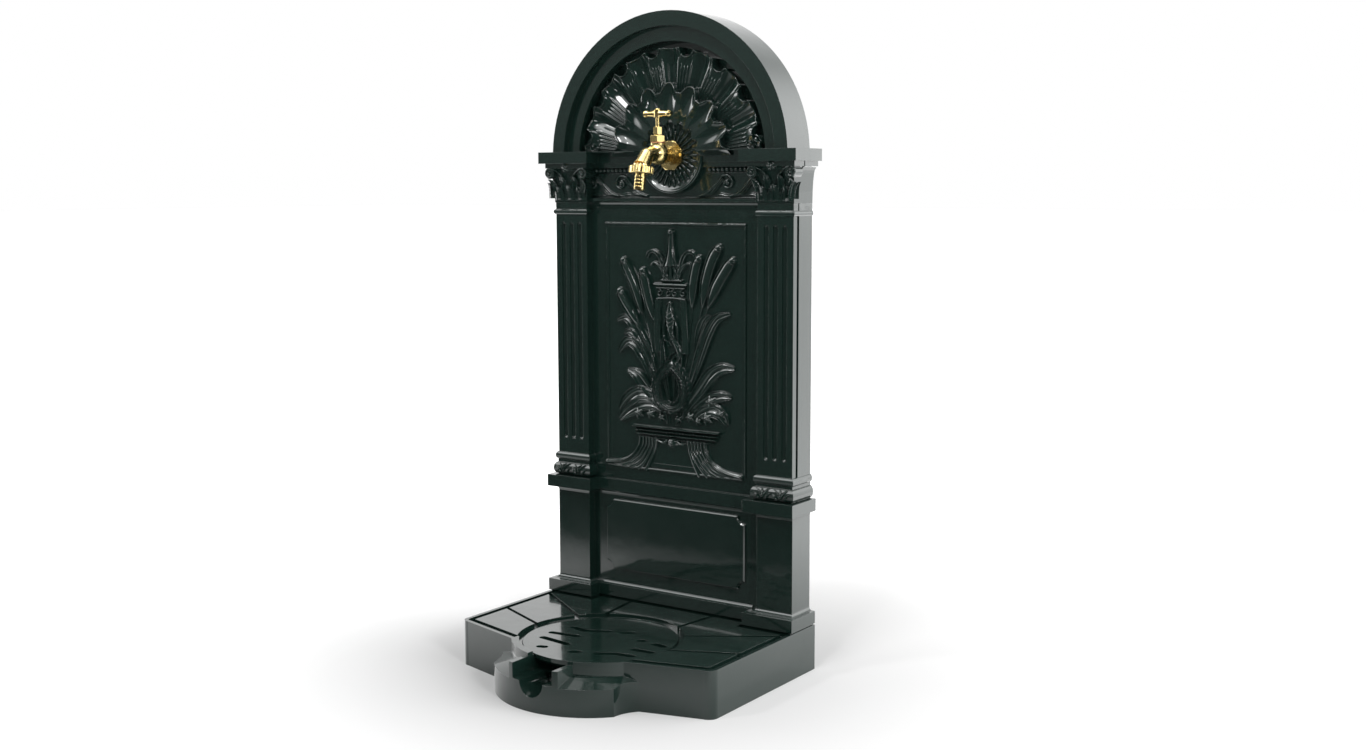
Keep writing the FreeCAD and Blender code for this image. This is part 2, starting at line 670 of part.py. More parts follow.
def lobe_directions(offset):
    """Directions of the lobes on one pitch, the first one an offset in pitches up from the right."""
    count = int(180 / SHELL_PITCH + 1 - 2 * offset)
    angles = [math.radians(SHELL_PITCH * (i + offset)) for i in range(count)]
    return [Vector(math.cos(a), 0, math.sin(a)) for a in angles]


def scallop_plan(radius, offset, y0, y1):
    """The scalloped outline of a fan of lobes, as a prism along Y."""
    tip = radius * math.sin(math.radians(SHELL_PITCH / 2))
    parts = [rod(radius * (1 - SHELL_SCALLOP), Vector(0, y0, ARCH_CENTRE), BACK, y1 - y0)]
    for outward in lobe_directions(offset):
        centre = Vector(0, y0, ARCH_CENTRE) + outward * (radius - tip)
        parts.append(rod(tip, centre, BACK, y1 - y0))
    return fuse(parts)


def lobes(radius, offset, back, rise):
    """A scalloped fan with a hollow channel along every lobe."""
    half_width = SHELL_CHANNEL * radius * math.tan(math.radians(SHELL_PITCH / 2))
    depth = rise - SHELL_FLOOR
    curve = (half_width ** 2 + depth ** 2) / (2 * depth)
    foot = Vector(0, -back - rise, ARCH_CENTRE)
    channels = []
    for outward in lobe_directions(offset):
        end = foot + outward * (radius + EPS) - BACK * (curve - depth)
        channels.append(Part.makeCone(SHELL_HUB, curve, (end - foot).Length, foot, end - foot))
    return scallop_plan(radius, offset, -back - rise, -back + EPS).cut(channels)


def make_shell():
    """The scallop in the niche, in two tiers, held from behind."""
    face = NICHE_BACK + SHELL_PLATE
    base = scallop_plan(SHELL_RADIUS, 0, -face, -NICHE_BACK)
    outer = lobes(SHELL_RADIUS, 0, face, SHELL_RISE)
    step = scallop_plan(SHELL_INNER_RADIUS, 0.5, -face - SHELL_INNER_LIFT, -face)
    inner = lobes(SHELL_INNER_RADIUS, 0.5, face + SHELL_INNER_LIFT, SHELL_RISE * SHELL_INNER_RADIUS / SHELL_RADIUS)
    shell = fuse([base, outer, step, inner])
    limit = half_disc(SHELL_RADIUS, -FIELD - 2 * SHELL_RISE, -NICHE_BACK, CORNICE_TOP + GAP)
    shell = shell.common(limit)
    tap = Vector(0, -FIELD * 2, TAP_Z)
    cuts = [rod(ROSETTE_RADIUS + 2 * GAP, tap, BACK, FIELD * 2)]
    for x, z in shell_screw_places():
        cuts.append(rod(SCREW, Vector(x, -NICHE_BACK - 5, z), BACK, 6))
    return shell.cut(cuts).removeSplitter()


def make_rosette():
    """A dished disc with a rolled rim and a ring of hollow petals."""
    tap = Vector(0, -FIELD, TAP_Z)
    front = -BACK
    r = ROSETTE_RADIUS
    t = ROSETTE_THICK
    hub = ROSETTE_HUB
    profile = [(SHANK_RADIUS + 0.6, 0), (r, 0), (r, t - 2), (r - 2, t), (r - 5, t), (r - 8, t - 3), (r * 0.6, hub + 1.5),
               (FLANGE_FLATS / 2 + 2, hub), (SHANK_RADIUS + 0.6, hub)]
    disc = revolve(profile, tap, front)
    petals = []
    for i in range(ROSETTE_PETALS):
        a = 2 * math.pi * i / ROSETTE_PETALS
        outward = Vector(math.cos(a), 0, math.sin(a))
        start = tap + front * (hub + 2.5) + outward * (FLANGE_FLATS / 2 + 6)
        petals.append(Part.makeCone(1.0, 3.0, r - 12 - FLANGE_FLATS / 2, start, outward))
    return disc.cut(petals)


# Tap

def union_frame(distance):
    """The point on the hose union's axis at a distance from its top, and the axis itself."""
    tilt = math.radians(UNION_TILT)
    axis = Vector(0, -math.sin(tilt), -math.cos(tilt))
    return Vector(0, -UNION_Y, UNION_Z) + axis * distance, axis


def make_tap_body():
    centre = Vector(0, -TAP_Y, 0)
    flange_face = FIELD + ROSETTE_HUB + FLANGE_THICK
    ball = Part.makeSphere(BALL_RADIUS, centre + UP * BALL_Z)
    shank = rod(SHANK_RADIUS, Vector(0, -TAP_Y, TAP_Z), BACK, TAP_Y - SHANK_END)
    collar = rod(COLLAR_RADIUS, Vector(0, -flange_face - COLLAR_THICK, TAP_Z), BACK, COLLAR_THICK)
    waist = Part.makeCone(BALL_RADIUS - 3, SHANK_RADIUS, 16, Vector(0, -TAP_Y + 6, TAP_Z), BACK)
    neck = rod(NECK_RADIUS, centre + UP * BALL_Z, UP, NECK_TOP - BALL_Z)
    top, axis = union_frame(0)
    knee = Vector(0, -KNEE_Y, KNEE_Z)
    root = centre + UP * BALL_Z
    arm = Part.makeCone(SPOUT_RADIUS + SPOUT_SWELL, SPOUT_RADIUS, (knee - root).Length, root, knee - root)
    bend = Part.makeSphere(SPOUT_RADIUS, knee)
    fall = Part.makeCone(SPOUT_RADIUS, SPOUT_RADIUS + SPOUT_SWELL, (top - knee).Length, knee, top - knee)
    bead = rod(SPOUT_RADIUS + SPOUT_BEAD, top - axis * SPOUT_BEAD, axis, SPOUT_BEAD + EPS)
    thread = rod(THREAD_RADIUS - THREAD_DEPTH, top, axis, THREAD_LENGTH)
    body = fuse([ball, shank, collar, waist, neck, arm, bend, fall, bead, thread])
    body = body.cut(rod(BALL_RADIUS, centre + UP * NECK_TOP, UP, BALL_RADIUS))

    chamber_bottom = SEAT_Z - 3
    spout_start = centre + UP * (SEAT_Z + 3) - BACK * 3
    cuts = [
        rod(CHAMBER_RADIUS, centre + UP * SEAT_Z, UP, NECK_TOP),
        rod(SEAT_BORE, centre + UP * (chamber_bottom - 4), UP, 10),
        rod(SHANK_BORE, Vector(0, -TAP_Y, chamber_bottom - 3.5), BACK, TAP_Y),
        rod(SPOUT_BORE, spout_start, knee - spout_start, (knee - spout_start).Length),
        Part.makeSphere(SPOUT_BORE, knee),
        rod(SPOUT_BORE, knee, top - knee, (top - knee).Length),
        Part.makeSphere(SPOUT_BORE, top),
        rod(SPOUT_BORE + 1, top, axis, THREAD_LENGTH + EPS),
    ]
    return body.cut(cuts).removeSplitter()


def make_bonnet():
    """The headwork: skirt in the neck, hexagon, and the neck that the gland nut screws onto."""
    centre = Vector(0, -TAP_Y, 0)
    skirt = rod(CHAMBER_RADIUS, centre + UP * (NECK_TOP - 4), UP, 5)
    washer_room = rod(CHAMBER_RADIUS, centre + UP * NECK_TOP, UP, 2)
    hexagon = chamfered_nut(6, BONNET_FLATS, centre + UP * (NECK_TOP + 1), UP, BONNET_TOP - NECK_TOP - 1)
    neck = rod(GLAND_NECK_RADIUS, centre + UP * BONNET_TOP, UP, 8)
    body = fuse([skirt, washer_room, hexagon, neck])
    cuts = [
        rod(CHAMBER_RADIUS - 1.2, centre + UP * (NECK_TOP - 5), UP, 6.5),
        rod(SCREW_RADIUS + RUNNING, centre + UP * (NECK_TOP - 5), UP, BONNET_TOP - NECK_TOP + 5),
        rod(STEM_RADIUS + RUNNING, centre + UP * NECK_TOP, UP, 30),
        rod(GLAND_NECK_RADIUS - 1.0, centre + UP * (BONNET_TOP + 3), UP, 10),
    ]
    return body.cut(cuts)


def make_gland_nut():
    centre = Vector(0, -TAP_Y, 0)
    start = BONNET_TOP + 1
    nut = chamfered_nut(6, GLAND_FLATS, centre + UP * start, UP, GLAND_TOP - start)
    cuts = [
        rod(GLAND_NECK_RADIUS, centre + UP * (start - EPS), UP, BONNET_TOP + 8 + GAP - start + EPS),
        rod(STEM_RADIUS + 0.2, centre + UP * start, UP, 30),
    ]
    nose = tube(GLAND_NECK_RADIUS - 1.2, STEM_RADIUS + 0.2, centre + UP * (BONNET_TOP + 7), UP, 1.5)
    return nut.cut(cuts).fuse(nose).removeSplitter()


def make_handle_parts():
    """Spindle, tee bar and its screw."""
    centre = Vector(0, -TAP_Y, 0)
    plate_top = SEAT_Z + 5
    screw_top = NECK_TOP + 4
    thread = rod(SCREW_RADIUS, centre + UP * plate_top, UP, screw_top - plate_top)
    stem = rod(STEM_RADIUS, centre + UP * screw_top, UP, TEE_Z - TEE_END_RADIUS - screw_top)
    square = prism(4, 4.0, centre + UP * (TEE_Z - TEE_END_RADIUS), UP, 2 * TEE_END_RADIUS - 1, 45)
    spindle = fuse([thread, stem, square])
    spindle = spindle.cut([
        rod(2.05, centre + UP * (plate_top - EPS), UP, 8 + EPS),
        rod(1.5, centre + UP * (TEE_Z - 2), UP, 10),
    ])

    half = TEE_HALF
    profile = [(0, -half), (3.0, -half), (TEE_END_RADIUS, -half + 2.5), (TEE_END_RADIUS, -half + 5),
               (TEE_RADIUS - 0.8, -half + 8), (TEE_RADIUS, -6), (TEE_RADIUS, 6), (TEE_RADIUS - 0.8, half - 8),
               (TEE_END_RADIUS, half - 5), (TEE_END_RADIUS, half - 2.5), (3.0, half), (0, half)]
    bar = revolve(profile, centre + UP * TEE_Z, RIGHT)
    hub = rod(TEE_END_RADIUS + 0.5, centre + UP * (TEE_Z - TEE_END_RADIUS), UP, 2 * TEE_END_RADIUS)
    tee = fuse([bar, hub]).cut(prism(4, 4.0, centre + UP * (TEE_Z - 2 * TEE_END_RADIUS), UP, 40, 45))

    head_z = TEE_Z + TEE_END_RADIUS
    head = revolve([(0, 0), (4.0, 0), (4.0, 0.8), (2.8, 2.2), (0, 2.6)], centre + UP * head_z, UP)
    shank = rod(1.5, centre + UP * (TEE_Z - 2), UP, head_z - TEE_Z + 2)
    cut = box(-5, 5, -TAP_Y - 0.5, -TAP_Y + 0.5, head_z + 1.6, head_z + 4)
    return spindle, tee, fuse([head, shank]).cut(cut)


def make_valve_parts():
    """Jumper, its washer and the small nut that holds the washer."""
    centre = Vector(0, -TAP_Y, 0)
    washer = tube(7.0, 1.8, centre + UP * SEAT_Z, UP, 3)
    disc = rod(7.0, centre + UP * (SEAT_Z + 3), UP, 2)
    pin = rod(2.0, centre + UP * (SEAT_Z + 5), UP, 7.5)
    stud = rod(1.8, centre + UP * (SEAT_Z - 2.4), UP, 6)
    jumper = fuse([disc, pin, stud])
    nut = prism(6, 5.5, centre + UP * (SEAT_Z - 2), UP, 2).cut(rod(1.8, centre + UP * (SEAT_Z - 3), UP, 4))
    return jumper, washer, nut


def make_union_parts():
    """Union nut, hose tail and the flat washer between tail and tap."""
    end, axis = union_frame(THREAD_LENGTH)
    washer = tube(TAIL_COLLAR - 0.5, SPOUT_BORE + 1, end, axis, UNION_WASHER)
    collar_start = THREAD_LENGTH + UNION_WASHER
    start, axis = union_frame(collar_start)
    radius = TAIL_RADIUS
    outline = [(TAIL_BORE, 0), (TAIL_COLLAR, 0), (TAIL_COLLAR, TAIL_COLLAR_THICK), (radius - 0.6, TAIL_COLLAR_THICK)]
    length = TAIL_END - collar_start
    first = TAIL_COLLAR_THICK + 5
    pitch = (length - first) / TAIL_BARBS
    for i in range(TAIL_BARBS):
        s = first + i * pitch
        outline += [(radius - 1.0, s), (radius, s + 0.5), (radius, s + 0.5 + TAIL_LAND), (radius - 1.0, s + pitch)]
    outline.append((TAIL_BORE, length))
    tail = revolve(outline, start, axis)

    nut_length = collar_start + TAIL_COLLAR_THICK + GAP + NUT_LIP - NUT_START
    start, axis = union_frame(NUT_START)
    r = NUT_RADIUS
    c = NUT_CHAMFER
    nut = revolve([(0, 0), (r - c, 0), (r, c), (r, nut_length - c), (r - c, nut_length), (0, nut_length)], start, axis)
    grooves = []
    side = axis.cross(RIGHT)
    for i in range(NUT_GROOVES):
        a = 2 * math.pi * i / NUT_GROOVES
        rim = start + (RIGHT * math.cos(a) + side * math.sin(a)) * (r + NUT_GROOVE_RADIUS / 2)
        grooves.append(rod(NUT_GROOVE_RADIUS, rim, axis, nut_length))
    room = rod(THREAD_RADIUS - THREAD_DEPTH + RUNNING, start - axis, axis, nut_length - NUT_LIP + 1)
    hole = rod(radius + 0.6, start, axis, nut_length + EPS)
    return nut.cut([room, hole] + grooves), tail, washer


# Pipework

def make_wall_elbow():
    level = Vector(0, -PIPE_Y, TAP_Z)
    socket = rod(ELBOW_RADIUS + 3, Vector(0, -ELBOW_FACE, TAP_Z), BACK, 9)
    throat = rod(ELBOW_RADIUS, Vector(0, -ELBOW_FACE, TAP_Z), BACK, ELBOW_FACE - PIPE_Y)
    knee = Part.makeSphere(ELBOW_RADIUS, level)
    leg = rod(ELBOW_RADIUS, level, -UP, TAP_Z - PIPE_TOP + 8)
    elbow = fuse([socket, throat, knee, leg])
    cuts = [
        rod(SHANK_RADIUS, Vector(0, -ELBOW_FACE - EPS, TAP_Z), BACK, ELBOW_FACE + EPS - SHANK_END + GAP),
        rod(SHANK_BORE + 1, Vector(0, -SHANK_END - EPS, TAP_Z), BACK, SHANK_END - PIPE_Y + EPS),
        rod(SHANK_BORE + 1, level + UP * 2, -UP, 30),
        rod(PIPE_RADIUS, Vector(0, -PIPE_Y, PIPE_TOP), -UP, 12),
    ]
    return elbow.cut(cuts).removeSplitter()


def make_compression(face, away):
    """The cap nut and the olive that clamp the pipe; face is the end of the fitting's leg."""
    axis = UP * away
    centre = Vector(0, -PIPE_Y, face)
    over = 5.0
    nut = chamfered_nut(6, CAP_FLATS, centre - axis * over, axis, CAP_LENGTH, 30)
    cuts = [
        rod(ELBOW_RADIUS, centre - axis * (over + EPS), axis, over + 6 + EPS),
        rod(PIPE_RADIUS + 0.1, centre, axis, CAP_LENGTH),
    ]
    olive = revolve([(PIPE_RADIUS, 0.2), (PIPE_RADIUS + 0.6, 0.2), (PIPE_RADIUS + 1.6, 2.2), (PIPE_RADIUS + 1.6, 3.4),
                     (PIPE_RADIUS + 0.6, 5.6), (PIPE_RADIUS, 5.6)], centre, axis)
    return nut.cut(cuts), olive


def make_inlet():
    """A straight connector: pipe socket above, male thread for the supply below."""
    centre = Vector(0, -PIPE_Y, 0)
    hexagon_top = PIPE_BOTTOM - 3
    thread = rod(INLET_RADIUS, centre + UP * INLET_BOTTOM, UP, hexagon_top - 9 - INLET_BOTTOM)
    hexagon = chamfered_nut(6, CAP_FLATS, centre + UP * (hexagon_top - 9), UP, 9, 30)
    leg = rod(ELBOW_RADIUS, centre + UP * hexagon_top, UP, 11)
    cuts = [
        rod(PIPE_RADIUS - PIPE_WALL, centre + UP * (INLET_BOTTOM - EPS), UP, 60),
        rod(PIPE_RADIUS, centre + UP * PIPE_BOTTOM, UP, 20),
    ]
    return fuse([thread, hexagon, leg]).cut(cuts)


def make_clips():
    """Saddle clips that hold the riser on the bosses of the upright."""
    clips = []
    seat = -PIPE_Y - PIPE_RADIUS
    for z in CLIP_LEVELS:
        low = Vector(0, -PIPE_Y, z - CLIP_HEIGHT / 2 + 1)
        height = CLIP_HEIGHT - 2
        outer = PIPE_RADIUS + CLIP_STRIP
        hoop = rod(outer, low, UP, height)
        legs = box(-outer, outer, seat, -PIPE_Y, low.z, low.z + height)
        ears = box(-CLIP_HALF + 1, CLIP_HALF - 1, seat, seat + CLIP_STRIP, low.z, low.z + height)
        clip = fuse([hoop, legs, ears])
        inner = fuse([rod(PIPE_RADIUS, low - UP, UP, height + 2),
                      box(-PIPE_RADIUS, PIPE_RADIUS, seat - EPS, -PIPE_Y, low.z - 1, low.z + height + 1)])
        clip = clip.cut(inner)
        clip = clip.common(box(-CLIP_HALF, CLIP_HALF, seat, 0, low.z - 1, low.z + height + 1))
        holes = [rod(SCREW, Vector(x, seat - EPS, z), BACK, 6) for x in (-CLIP_SCREW_X, CLIP_SCREW_X)]
        clips.append(clip.cut(holes))
    return clips


# Fasteners

def pan_screw(x, y, z, reach):
    """A pan-head screw driven in from behind; y is the plane under its head."""
    head = revolve([(0, 0), (SCREW_HEAD, 0), (SCREW_HEAD, 1.0), (SCREW_HEAD - 1.4, SCREW_HEAD_THICK), (0, SCREW_HEAD_THICK)],
                   Vector(x, y, z), BACK)
    shank = rod(SCREW, Vector(x, y - reach, z), BACK, reach)
    cross = [box(x - 1.8, x + 1.8, y + 1.4, y + 4, z - 0.4, z + 0.4), box(x - 0.4, x + 0.4, y + 1.4, y + 4, z - 1.8, z + 1.8)]
    return fuse([head, shank]).cut(cross)


def make_bolt_sets():
    bolts = []
    washers = []
    nuts = []
    under = TRAY_FLOOR - TRAY_SKIN
    for x in [s * x for x in BOLT_XS for s in (-1, 1)]:
        place = Vector(x, -BOLT_Y, 0)
        head_z = LUG_TOP + WASHER_THICK
        nut_z = under - WASHER_THICK - NUT_HEIGHT
        head = chamfered_nut(6, BOLT_FLATS, place + UP * head_z, UP, BOLT_HEAD)
        shank = rod(BOLT_RADIUS, place + UP * (nut_z - 4), UP, head_z - nut_z + 4)
        bolts.append(fuse([head, shank]))
        washers.append(tube(WASHER_RADIUS, BOLT_RADIUS + 0.2, place + UP * LUG_TOP, UP, WASHER_THICK))
        washers.append(tube(WASHER_RADIUS, BOLT_RADIUS + 0.2, place + UP * (under - WASHER_THICK), UP, WASHER_THICK))
        nut = chamfered_nut(6, BOLT_FLATS, place + UP * nut_z, UP, NUT_HEIGHT)
        nuts.append(nut.cut(rod(BOLT_RADIUS, place + UP * (nut_z - 1), UP, NUT_HEIGHT + 2)))
    return bolts, washers, nuts


def main():
    tap_wall = -FIELD + WALL
    tap = Vector(0, 0, TAP_Z)
    export(make_tray(), "base_tray")
    export(make_grate(), "grate")
    export(make_upright(), "upright_casting")
    export(make_panel(), "relief_panel")
    export(make_shell(), "shell_ornament")
    export(make_rosette(), "rosette")

    flange_back = tap - BACK * (FIELD + ROSETTE_HUB + FLANGE_THICK)
    flange = chamfered_nut(8, FLANGE_FLATS, flange_back, BACK, FLANGE_THICK, 22.5)
    export(flange.cut(rod(SHANK_RADIUS + 0.3, flange_back - BACK, BACK, FLANGE_THICK + 2)), "tap_wall_flange")
    export(make_tap_body(), "tap_body")
    export(make_bonnet(), "tap_bonnet")
    neck = Vector(0, -TAP_Y, NECK_TOP)
    export(tube(NECK_RADIUS - 0.5, CHAMBER_RADIUS, neck, UP, 1.0), "bonnet_washer")
    packing = Vector(0, -TAP_Y, BONNET_TOP + 3)
    export(tube(GLAND_NECK_RADIUS - 1.0, STEM_RADIUS + RUNNING, packing, UP, 4.0), "gland_packing")
    export(make_gland_nut(), "gland_nut")
    spindle, tee, tee_screw = make_handle_parts()
    export(spindle, "tap_spindle")
    export(tee, "tee_handle")
    export(tee_screw, "handle_screw")
    jumper, valve_washer, valve_nut = make_valve_parts()
    export(jumper, "jumper_valve")
    export(valve_washer, "valve_washer")
    export(valve_nut, "valve_washer_nut")
    union_nut, tail, union_washer = make_union_parts()
    export(union_nut, "union_nut")
    export(tail, "hose_tail")
    export(union_washer, "union_washer")

    washer_start = tap + BACK * tap_wall
    export(tube(16.0, SHANK_RADIUS + 0.3, washer_start, BACK, 1.5), "shank_washer")
    nut_start = tap + BACK * (tap_wall + 1.5)
    back_nut = chamfered_nut(6, 27.0, nut_start, BACK, 4.0)
    export(back_nut.cut(rod(SHANK_RADIUS, nut_start - BACK, BACK, 6)), "back_nut")
    export(make_wall_elbow(), "wall_elbow")
    pipe_length = PIPE_TOP - PIPE_BOTTOM
    export(tube(PIPE_RADIUS, PIPE_RADIUS - PIPE_WALL, Vector(0, -PIPE_Y, PIPE_BOTTOM), UP, pipe_length), "riser_pipe")
    upper_nut, upper_olive = make_compression(PIPE_TOP - 8, -1)
    lower_nut, lower_olive = make_compression(PIPE_BOTTOM + 8, 1)
    export(group([upper_nut, lower_nut]), "compression_nuts")
    export(group([upper_olive, lower_olive]), "olives")
    export(make_inlet(), "inlet_connector")
    export(group(make_clips()), "pipe_clips")

    clip_face = -PIPE_Y - PIPE_RADIUS + CLIP_STRIP
    clip_screws = [pan_screw(x, clip_face, z, 8) for z in CLIP_LEVELS for x in (-CLIP_SCREW_X, CLIP_SCREW_X)]
    export(group(clip_screws), "clip_screws")
    export(group([pan_screw(x, tap_wall, z, 5.5) for x, z in panel_screw_places()]), "panel_screws")
    shell_back = -NICHE_BACK + WALL
    export(group([pan_screw(x, shell_back, z, 11) for x, z in shell_screw_places()]), "shell_screws")
    bolts, washers, nuts = make_bolt_sets()
    export(group(bolts), "base_bolts")
    export(group(washers), "base_washers")
    export(group(nuts), "base_nuts")


main()
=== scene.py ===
import json
import math

import bpy
import numpy as np
from mathutils import Matrix, Vector, noise


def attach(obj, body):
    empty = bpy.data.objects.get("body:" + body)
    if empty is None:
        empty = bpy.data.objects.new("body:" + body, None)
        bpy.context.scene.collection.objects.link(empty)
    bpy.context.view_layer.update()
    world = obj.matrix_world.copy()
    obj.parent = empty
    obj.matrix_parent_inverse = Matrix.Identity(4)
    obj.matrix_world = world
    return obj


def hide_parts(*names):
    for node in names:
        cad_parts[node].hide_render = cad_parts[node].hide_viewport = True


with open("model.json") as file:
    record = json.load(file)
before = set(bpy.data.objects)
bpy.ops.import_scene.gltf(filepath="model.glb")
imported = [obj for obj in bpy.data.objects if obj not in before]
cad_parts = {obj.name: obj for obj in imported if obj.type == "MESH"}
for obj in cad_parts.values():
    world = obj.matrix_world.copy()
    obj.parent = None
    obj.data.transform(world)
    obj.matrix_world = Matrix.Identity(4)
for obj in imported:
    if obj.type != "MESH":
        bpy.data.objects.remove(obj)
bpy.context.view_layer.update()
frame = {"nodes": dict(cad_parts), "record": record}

MM = 0.001
BACK = 0.187             # the upright's back plane in the part's frame, in metres
NODES = frame["nodes"]

# Planes of the upright, in millimetres ahead of its back plane
SHELL_FLOOR = 33.0
SHELL_BOSS_FRONT = 34.0
PANEL_FRONT = 36.0
BEAD_FRONT = 36.5
SEAM_FRONT = 36.8
CAPITAL_SCROLL_FRONT = 62.3
CAPITAL_FLOWER_FRONT = 63.0

# Middles of round and paired ornaments, in millimetres
SHELL_Z = 736.3
ROSETTE_Z = 738
PILASTER_MIDDLE = 180.6
STAND_MIDDLE = -3


def at(x, y, z):
    """A point given in millimetres from the upright's back plane, in the part's frame."""
    return (x * MM, BACK + y * MM, z * MM)


def flat(front):
    """Places points on an upright plane that faces forward."""
    return lambda u, v, h: at(u, -front - h, v)


# Numbers and paths along a line

def steps(count):
    """Evenly spaced shares from 0 to 1."""
    return [i / (count - 1) for i in range(count)]


def between(first, last, count):
    """Evenly spaced values from first to last."""
    return [first + (last - first) * t for t in steps(count)]


def swelling(ends, rise, count, power=1.0):
    """Values that rise from the ends to the middle."""
    return [ends + rise * math.sin(math.pi * t) ** power for t in steps(count)]


def scaled(shape, size, power=1.0):
    """The shape's values, raised to a power and brought to a size."""
    return [size * s ** power for s in shape]


def smooth_step(t):
    t = max(0.0, min(1.0, t))
    return t * t * (3 - 2 * t)


def on_side(side, points):
    """Points given as a middle line, a distance from it and a height, on the side that is asked for."""
    return [(middle + side * away, v) for middle, away, v in points]


def smooth_path(points, count):
    """A path through the given points, evened out, as a Catmull-Rom curve."""
    pts = [np.array(p, float) for p in points]
    pts = [2 * pts[0] - pts[1]] + pts + [2 * pts[-1] - pts[-2]]
    fine = []
    for i in range(1, len(pts) - 2):
        a, b, c, d = pts[i - 1:i + 3]
        for t in np.linspace(0, 1, 16, endpoint=False):
            fine.append(0.5 * (2 * b + (c - a) * t + (2 * a - 5 * b + 4 * c - d) * t ** 2
                               + (3 * b - a - 3 * c + d) * t ** 3))
    fine.append(pts[-2])
    fine = np.array(fine)
    lengths = np.concatenate([[0], np.cumsum(np.hypot(*np.diff(fine, axis=0).T))])
    wanted = np.linspace(0, lengths[-1], count)
    return list(zip(np.interp(wanted, lengths, fine[:, 0]), np.interp(wanted, lengths, fine[:, 1])))


def sideways(line, i):
    """The unit vector to the left of the path at its point i."""
    u0, v0 = line[max(i - 1, 0)]
    u1, v1 = line[min(i + 1, len(line) - 1)]
    length = math.hypot(u1 - u0, v1 - v0) or 1.0
    return -(v1 - v0) / length, (u1 - u0) / length


def side_line(line, offsets):
    """The path moved sideways by its own offset at each point."""
    moved = []
    for i, (u, v) in enumerate(line):
        nu, nv = sideways(line, i)
        moved.append((u + nu * offsets[i], v + nv * offsets[i]))
    return moved


def spiral(cu, cv, start_angle, turns, radius, inner, count):
    """Points from the outside of a spiral to its eye."""
    path = []
    for t in steps(count):
        a = start_angle + turns * 2 * math.pi * t
        r = radius + (inner - radius) * t ** 0.8
        path.append((cu + r * math.cos(a), cv + r * math.sin(a)))
    return path


# Camera, as fitted to edges of the photograph: angles in degrees, place in metres

CAMERA_YAW = 34.5547
CAMERA_PITCH = 6.9344
CAMERA_ROLL = -0.1499
CAMERA_PLACE = (1.299253, -1.712438, 0.693533)
FOCAL_PIXELS = 1550.64
FRAME_PIXELS = 1367
SENSOR_MM = 36.0
CLIP_END = 200


def make_camera():
    yaw, pitch, roll = (math.radians(angle) for angle in (CAMERA_YAW, CAMERA_PITCH, CAMERA_ROLL))
    forward = Vector((-math.sin(yaw) * math.cos(pitch), math.cos(yaw) * math.cos(pitch), -math.sin(pitch)))
    level = Vector((math.cos(yaw), math.sin(yaw), 0))
    raised = level.cross(forward)
    right = level * math.cos(roll) + raised * math.sin(roll)
    up = raised * math.cos(roll) - level * math.sin(roll)
    data = bpy.data.cameras.new("camera")
    data.sensor_width = SENSOR_MM
    data.lens = FOCAL_PIXELS / FRAME_PIXELS * SENSOR_MM
    data.clip_end = CLIP_END
    camera = bpy.data.objects.new("camera", data)
    turn = Matrix((right, up, -forward)).transposed()
    camera.matrix_world = Matrix.Translation(CAMERA_PLACE) @ turn.to_4x4()
    bpy.context.scene.collection.objects.link(camera)
    bpy.context.scene.camera = camera


# Materials

WHITE = (1, 1, 1, 1)


class Nodes:
    """The node tree of a material or a world, with short calls for its nodes."""

    def __init__(self, owner, output="ShaderNodeOutputMaterial", coordinates="Object"):
        owner.use_nodes = True
        self.owner = owner
        self.tree = owner.node_tree
        self.tree.nodes.clear()
        self.output = self.tree.nodes.new(output)
        self.coordinates = self.tree.nodes.new("ShaderNodeTexCoord").outputs[coordinates]

    def add(self, kind, inputs=None, **settings):
        node = self.tree.nodes.new(kind)
        for key, value in settings.items():
            setattr(node, key, value)
        for key, value in (inputs or {}).items():
            if isinstance(value, bpy.types.NodeSocket):
                self.tree.links.new(value, node.inputs[key])
            else:
                node.inputs[key].default_value = value
        return node

    def maths(self, operation, *values):
        return self.add("ShaderNodeMath", dict(enumerate(values)), operation=operation).outputs[0]

    def along(self, axis):
        """How far the coordinates point along an axis."""
        inputs = {0: self.coordinates, 1: axis}
        return self.add("ShaderNodeVectorMath", inputs, operation="DOT_PRODUCT").outputs["Value"]

    def noise(self, scale, detail=2.0, roughness=0.5):
        inputs = {"Vector": self.coordinates, "Scale": scale, "Detail": detail, "Roughness": roughness}
        return self.add("ShaderNodeTexNoise", inputs).outputs["Fac"]

    def ramp(self, value, low, high, start=0.3, end=0.7, shape="LINEAR"):
        inputs = {"Value": value, "From Min": start, "From Max": end, "To Min": low, "To Max": high}
        return self.add("ShaderNodeMapRange", inputs, interpolation_type=shape).outputs["Result"]

    def mix(self, factor, first, second):
        inputs = {"Factor": factor, 6: (*first, 1), 7: (*second, 1)}
        return self.add("ShaderNodeMix", inputs, data_type="RGBA").outputs[2]

    def soft_edges(self, radius):
        return self.add("ShaderNodeBevel", {"Radius": radius}, samples=4).outputs["Normal"]

    def bump(self, height, strength, distance, normal=None):
        inputs = {"Height": height, "Strength": strength, "Distance": distance}
        if normal is not None:
            inputs["Normal"] = normal
        return self.add("ShaderNodeBump", inputs).outputs["Normal"]

    def principled(self, colour, roughness, normal, **more):
        """Finishes the material with a principled shader; more names inputs with _ for their spaces."""
        inputs = {"Base Color": colour, "Roughness": roughness, "Normal": normal}
        inputs.update((name.replace("_", " "), value) for name, value in more.items())
        return self.finish(self.add("ShaderNodeBsdfPrincipled", inputs).outputs["BSDF"])

    def finish(self, shader):
        self.tree.links.new(shader, self.output.inputs["Surface"])
        return self.owner


def new_material(name):
    return Nodes(bpy.data.materials.new(name))


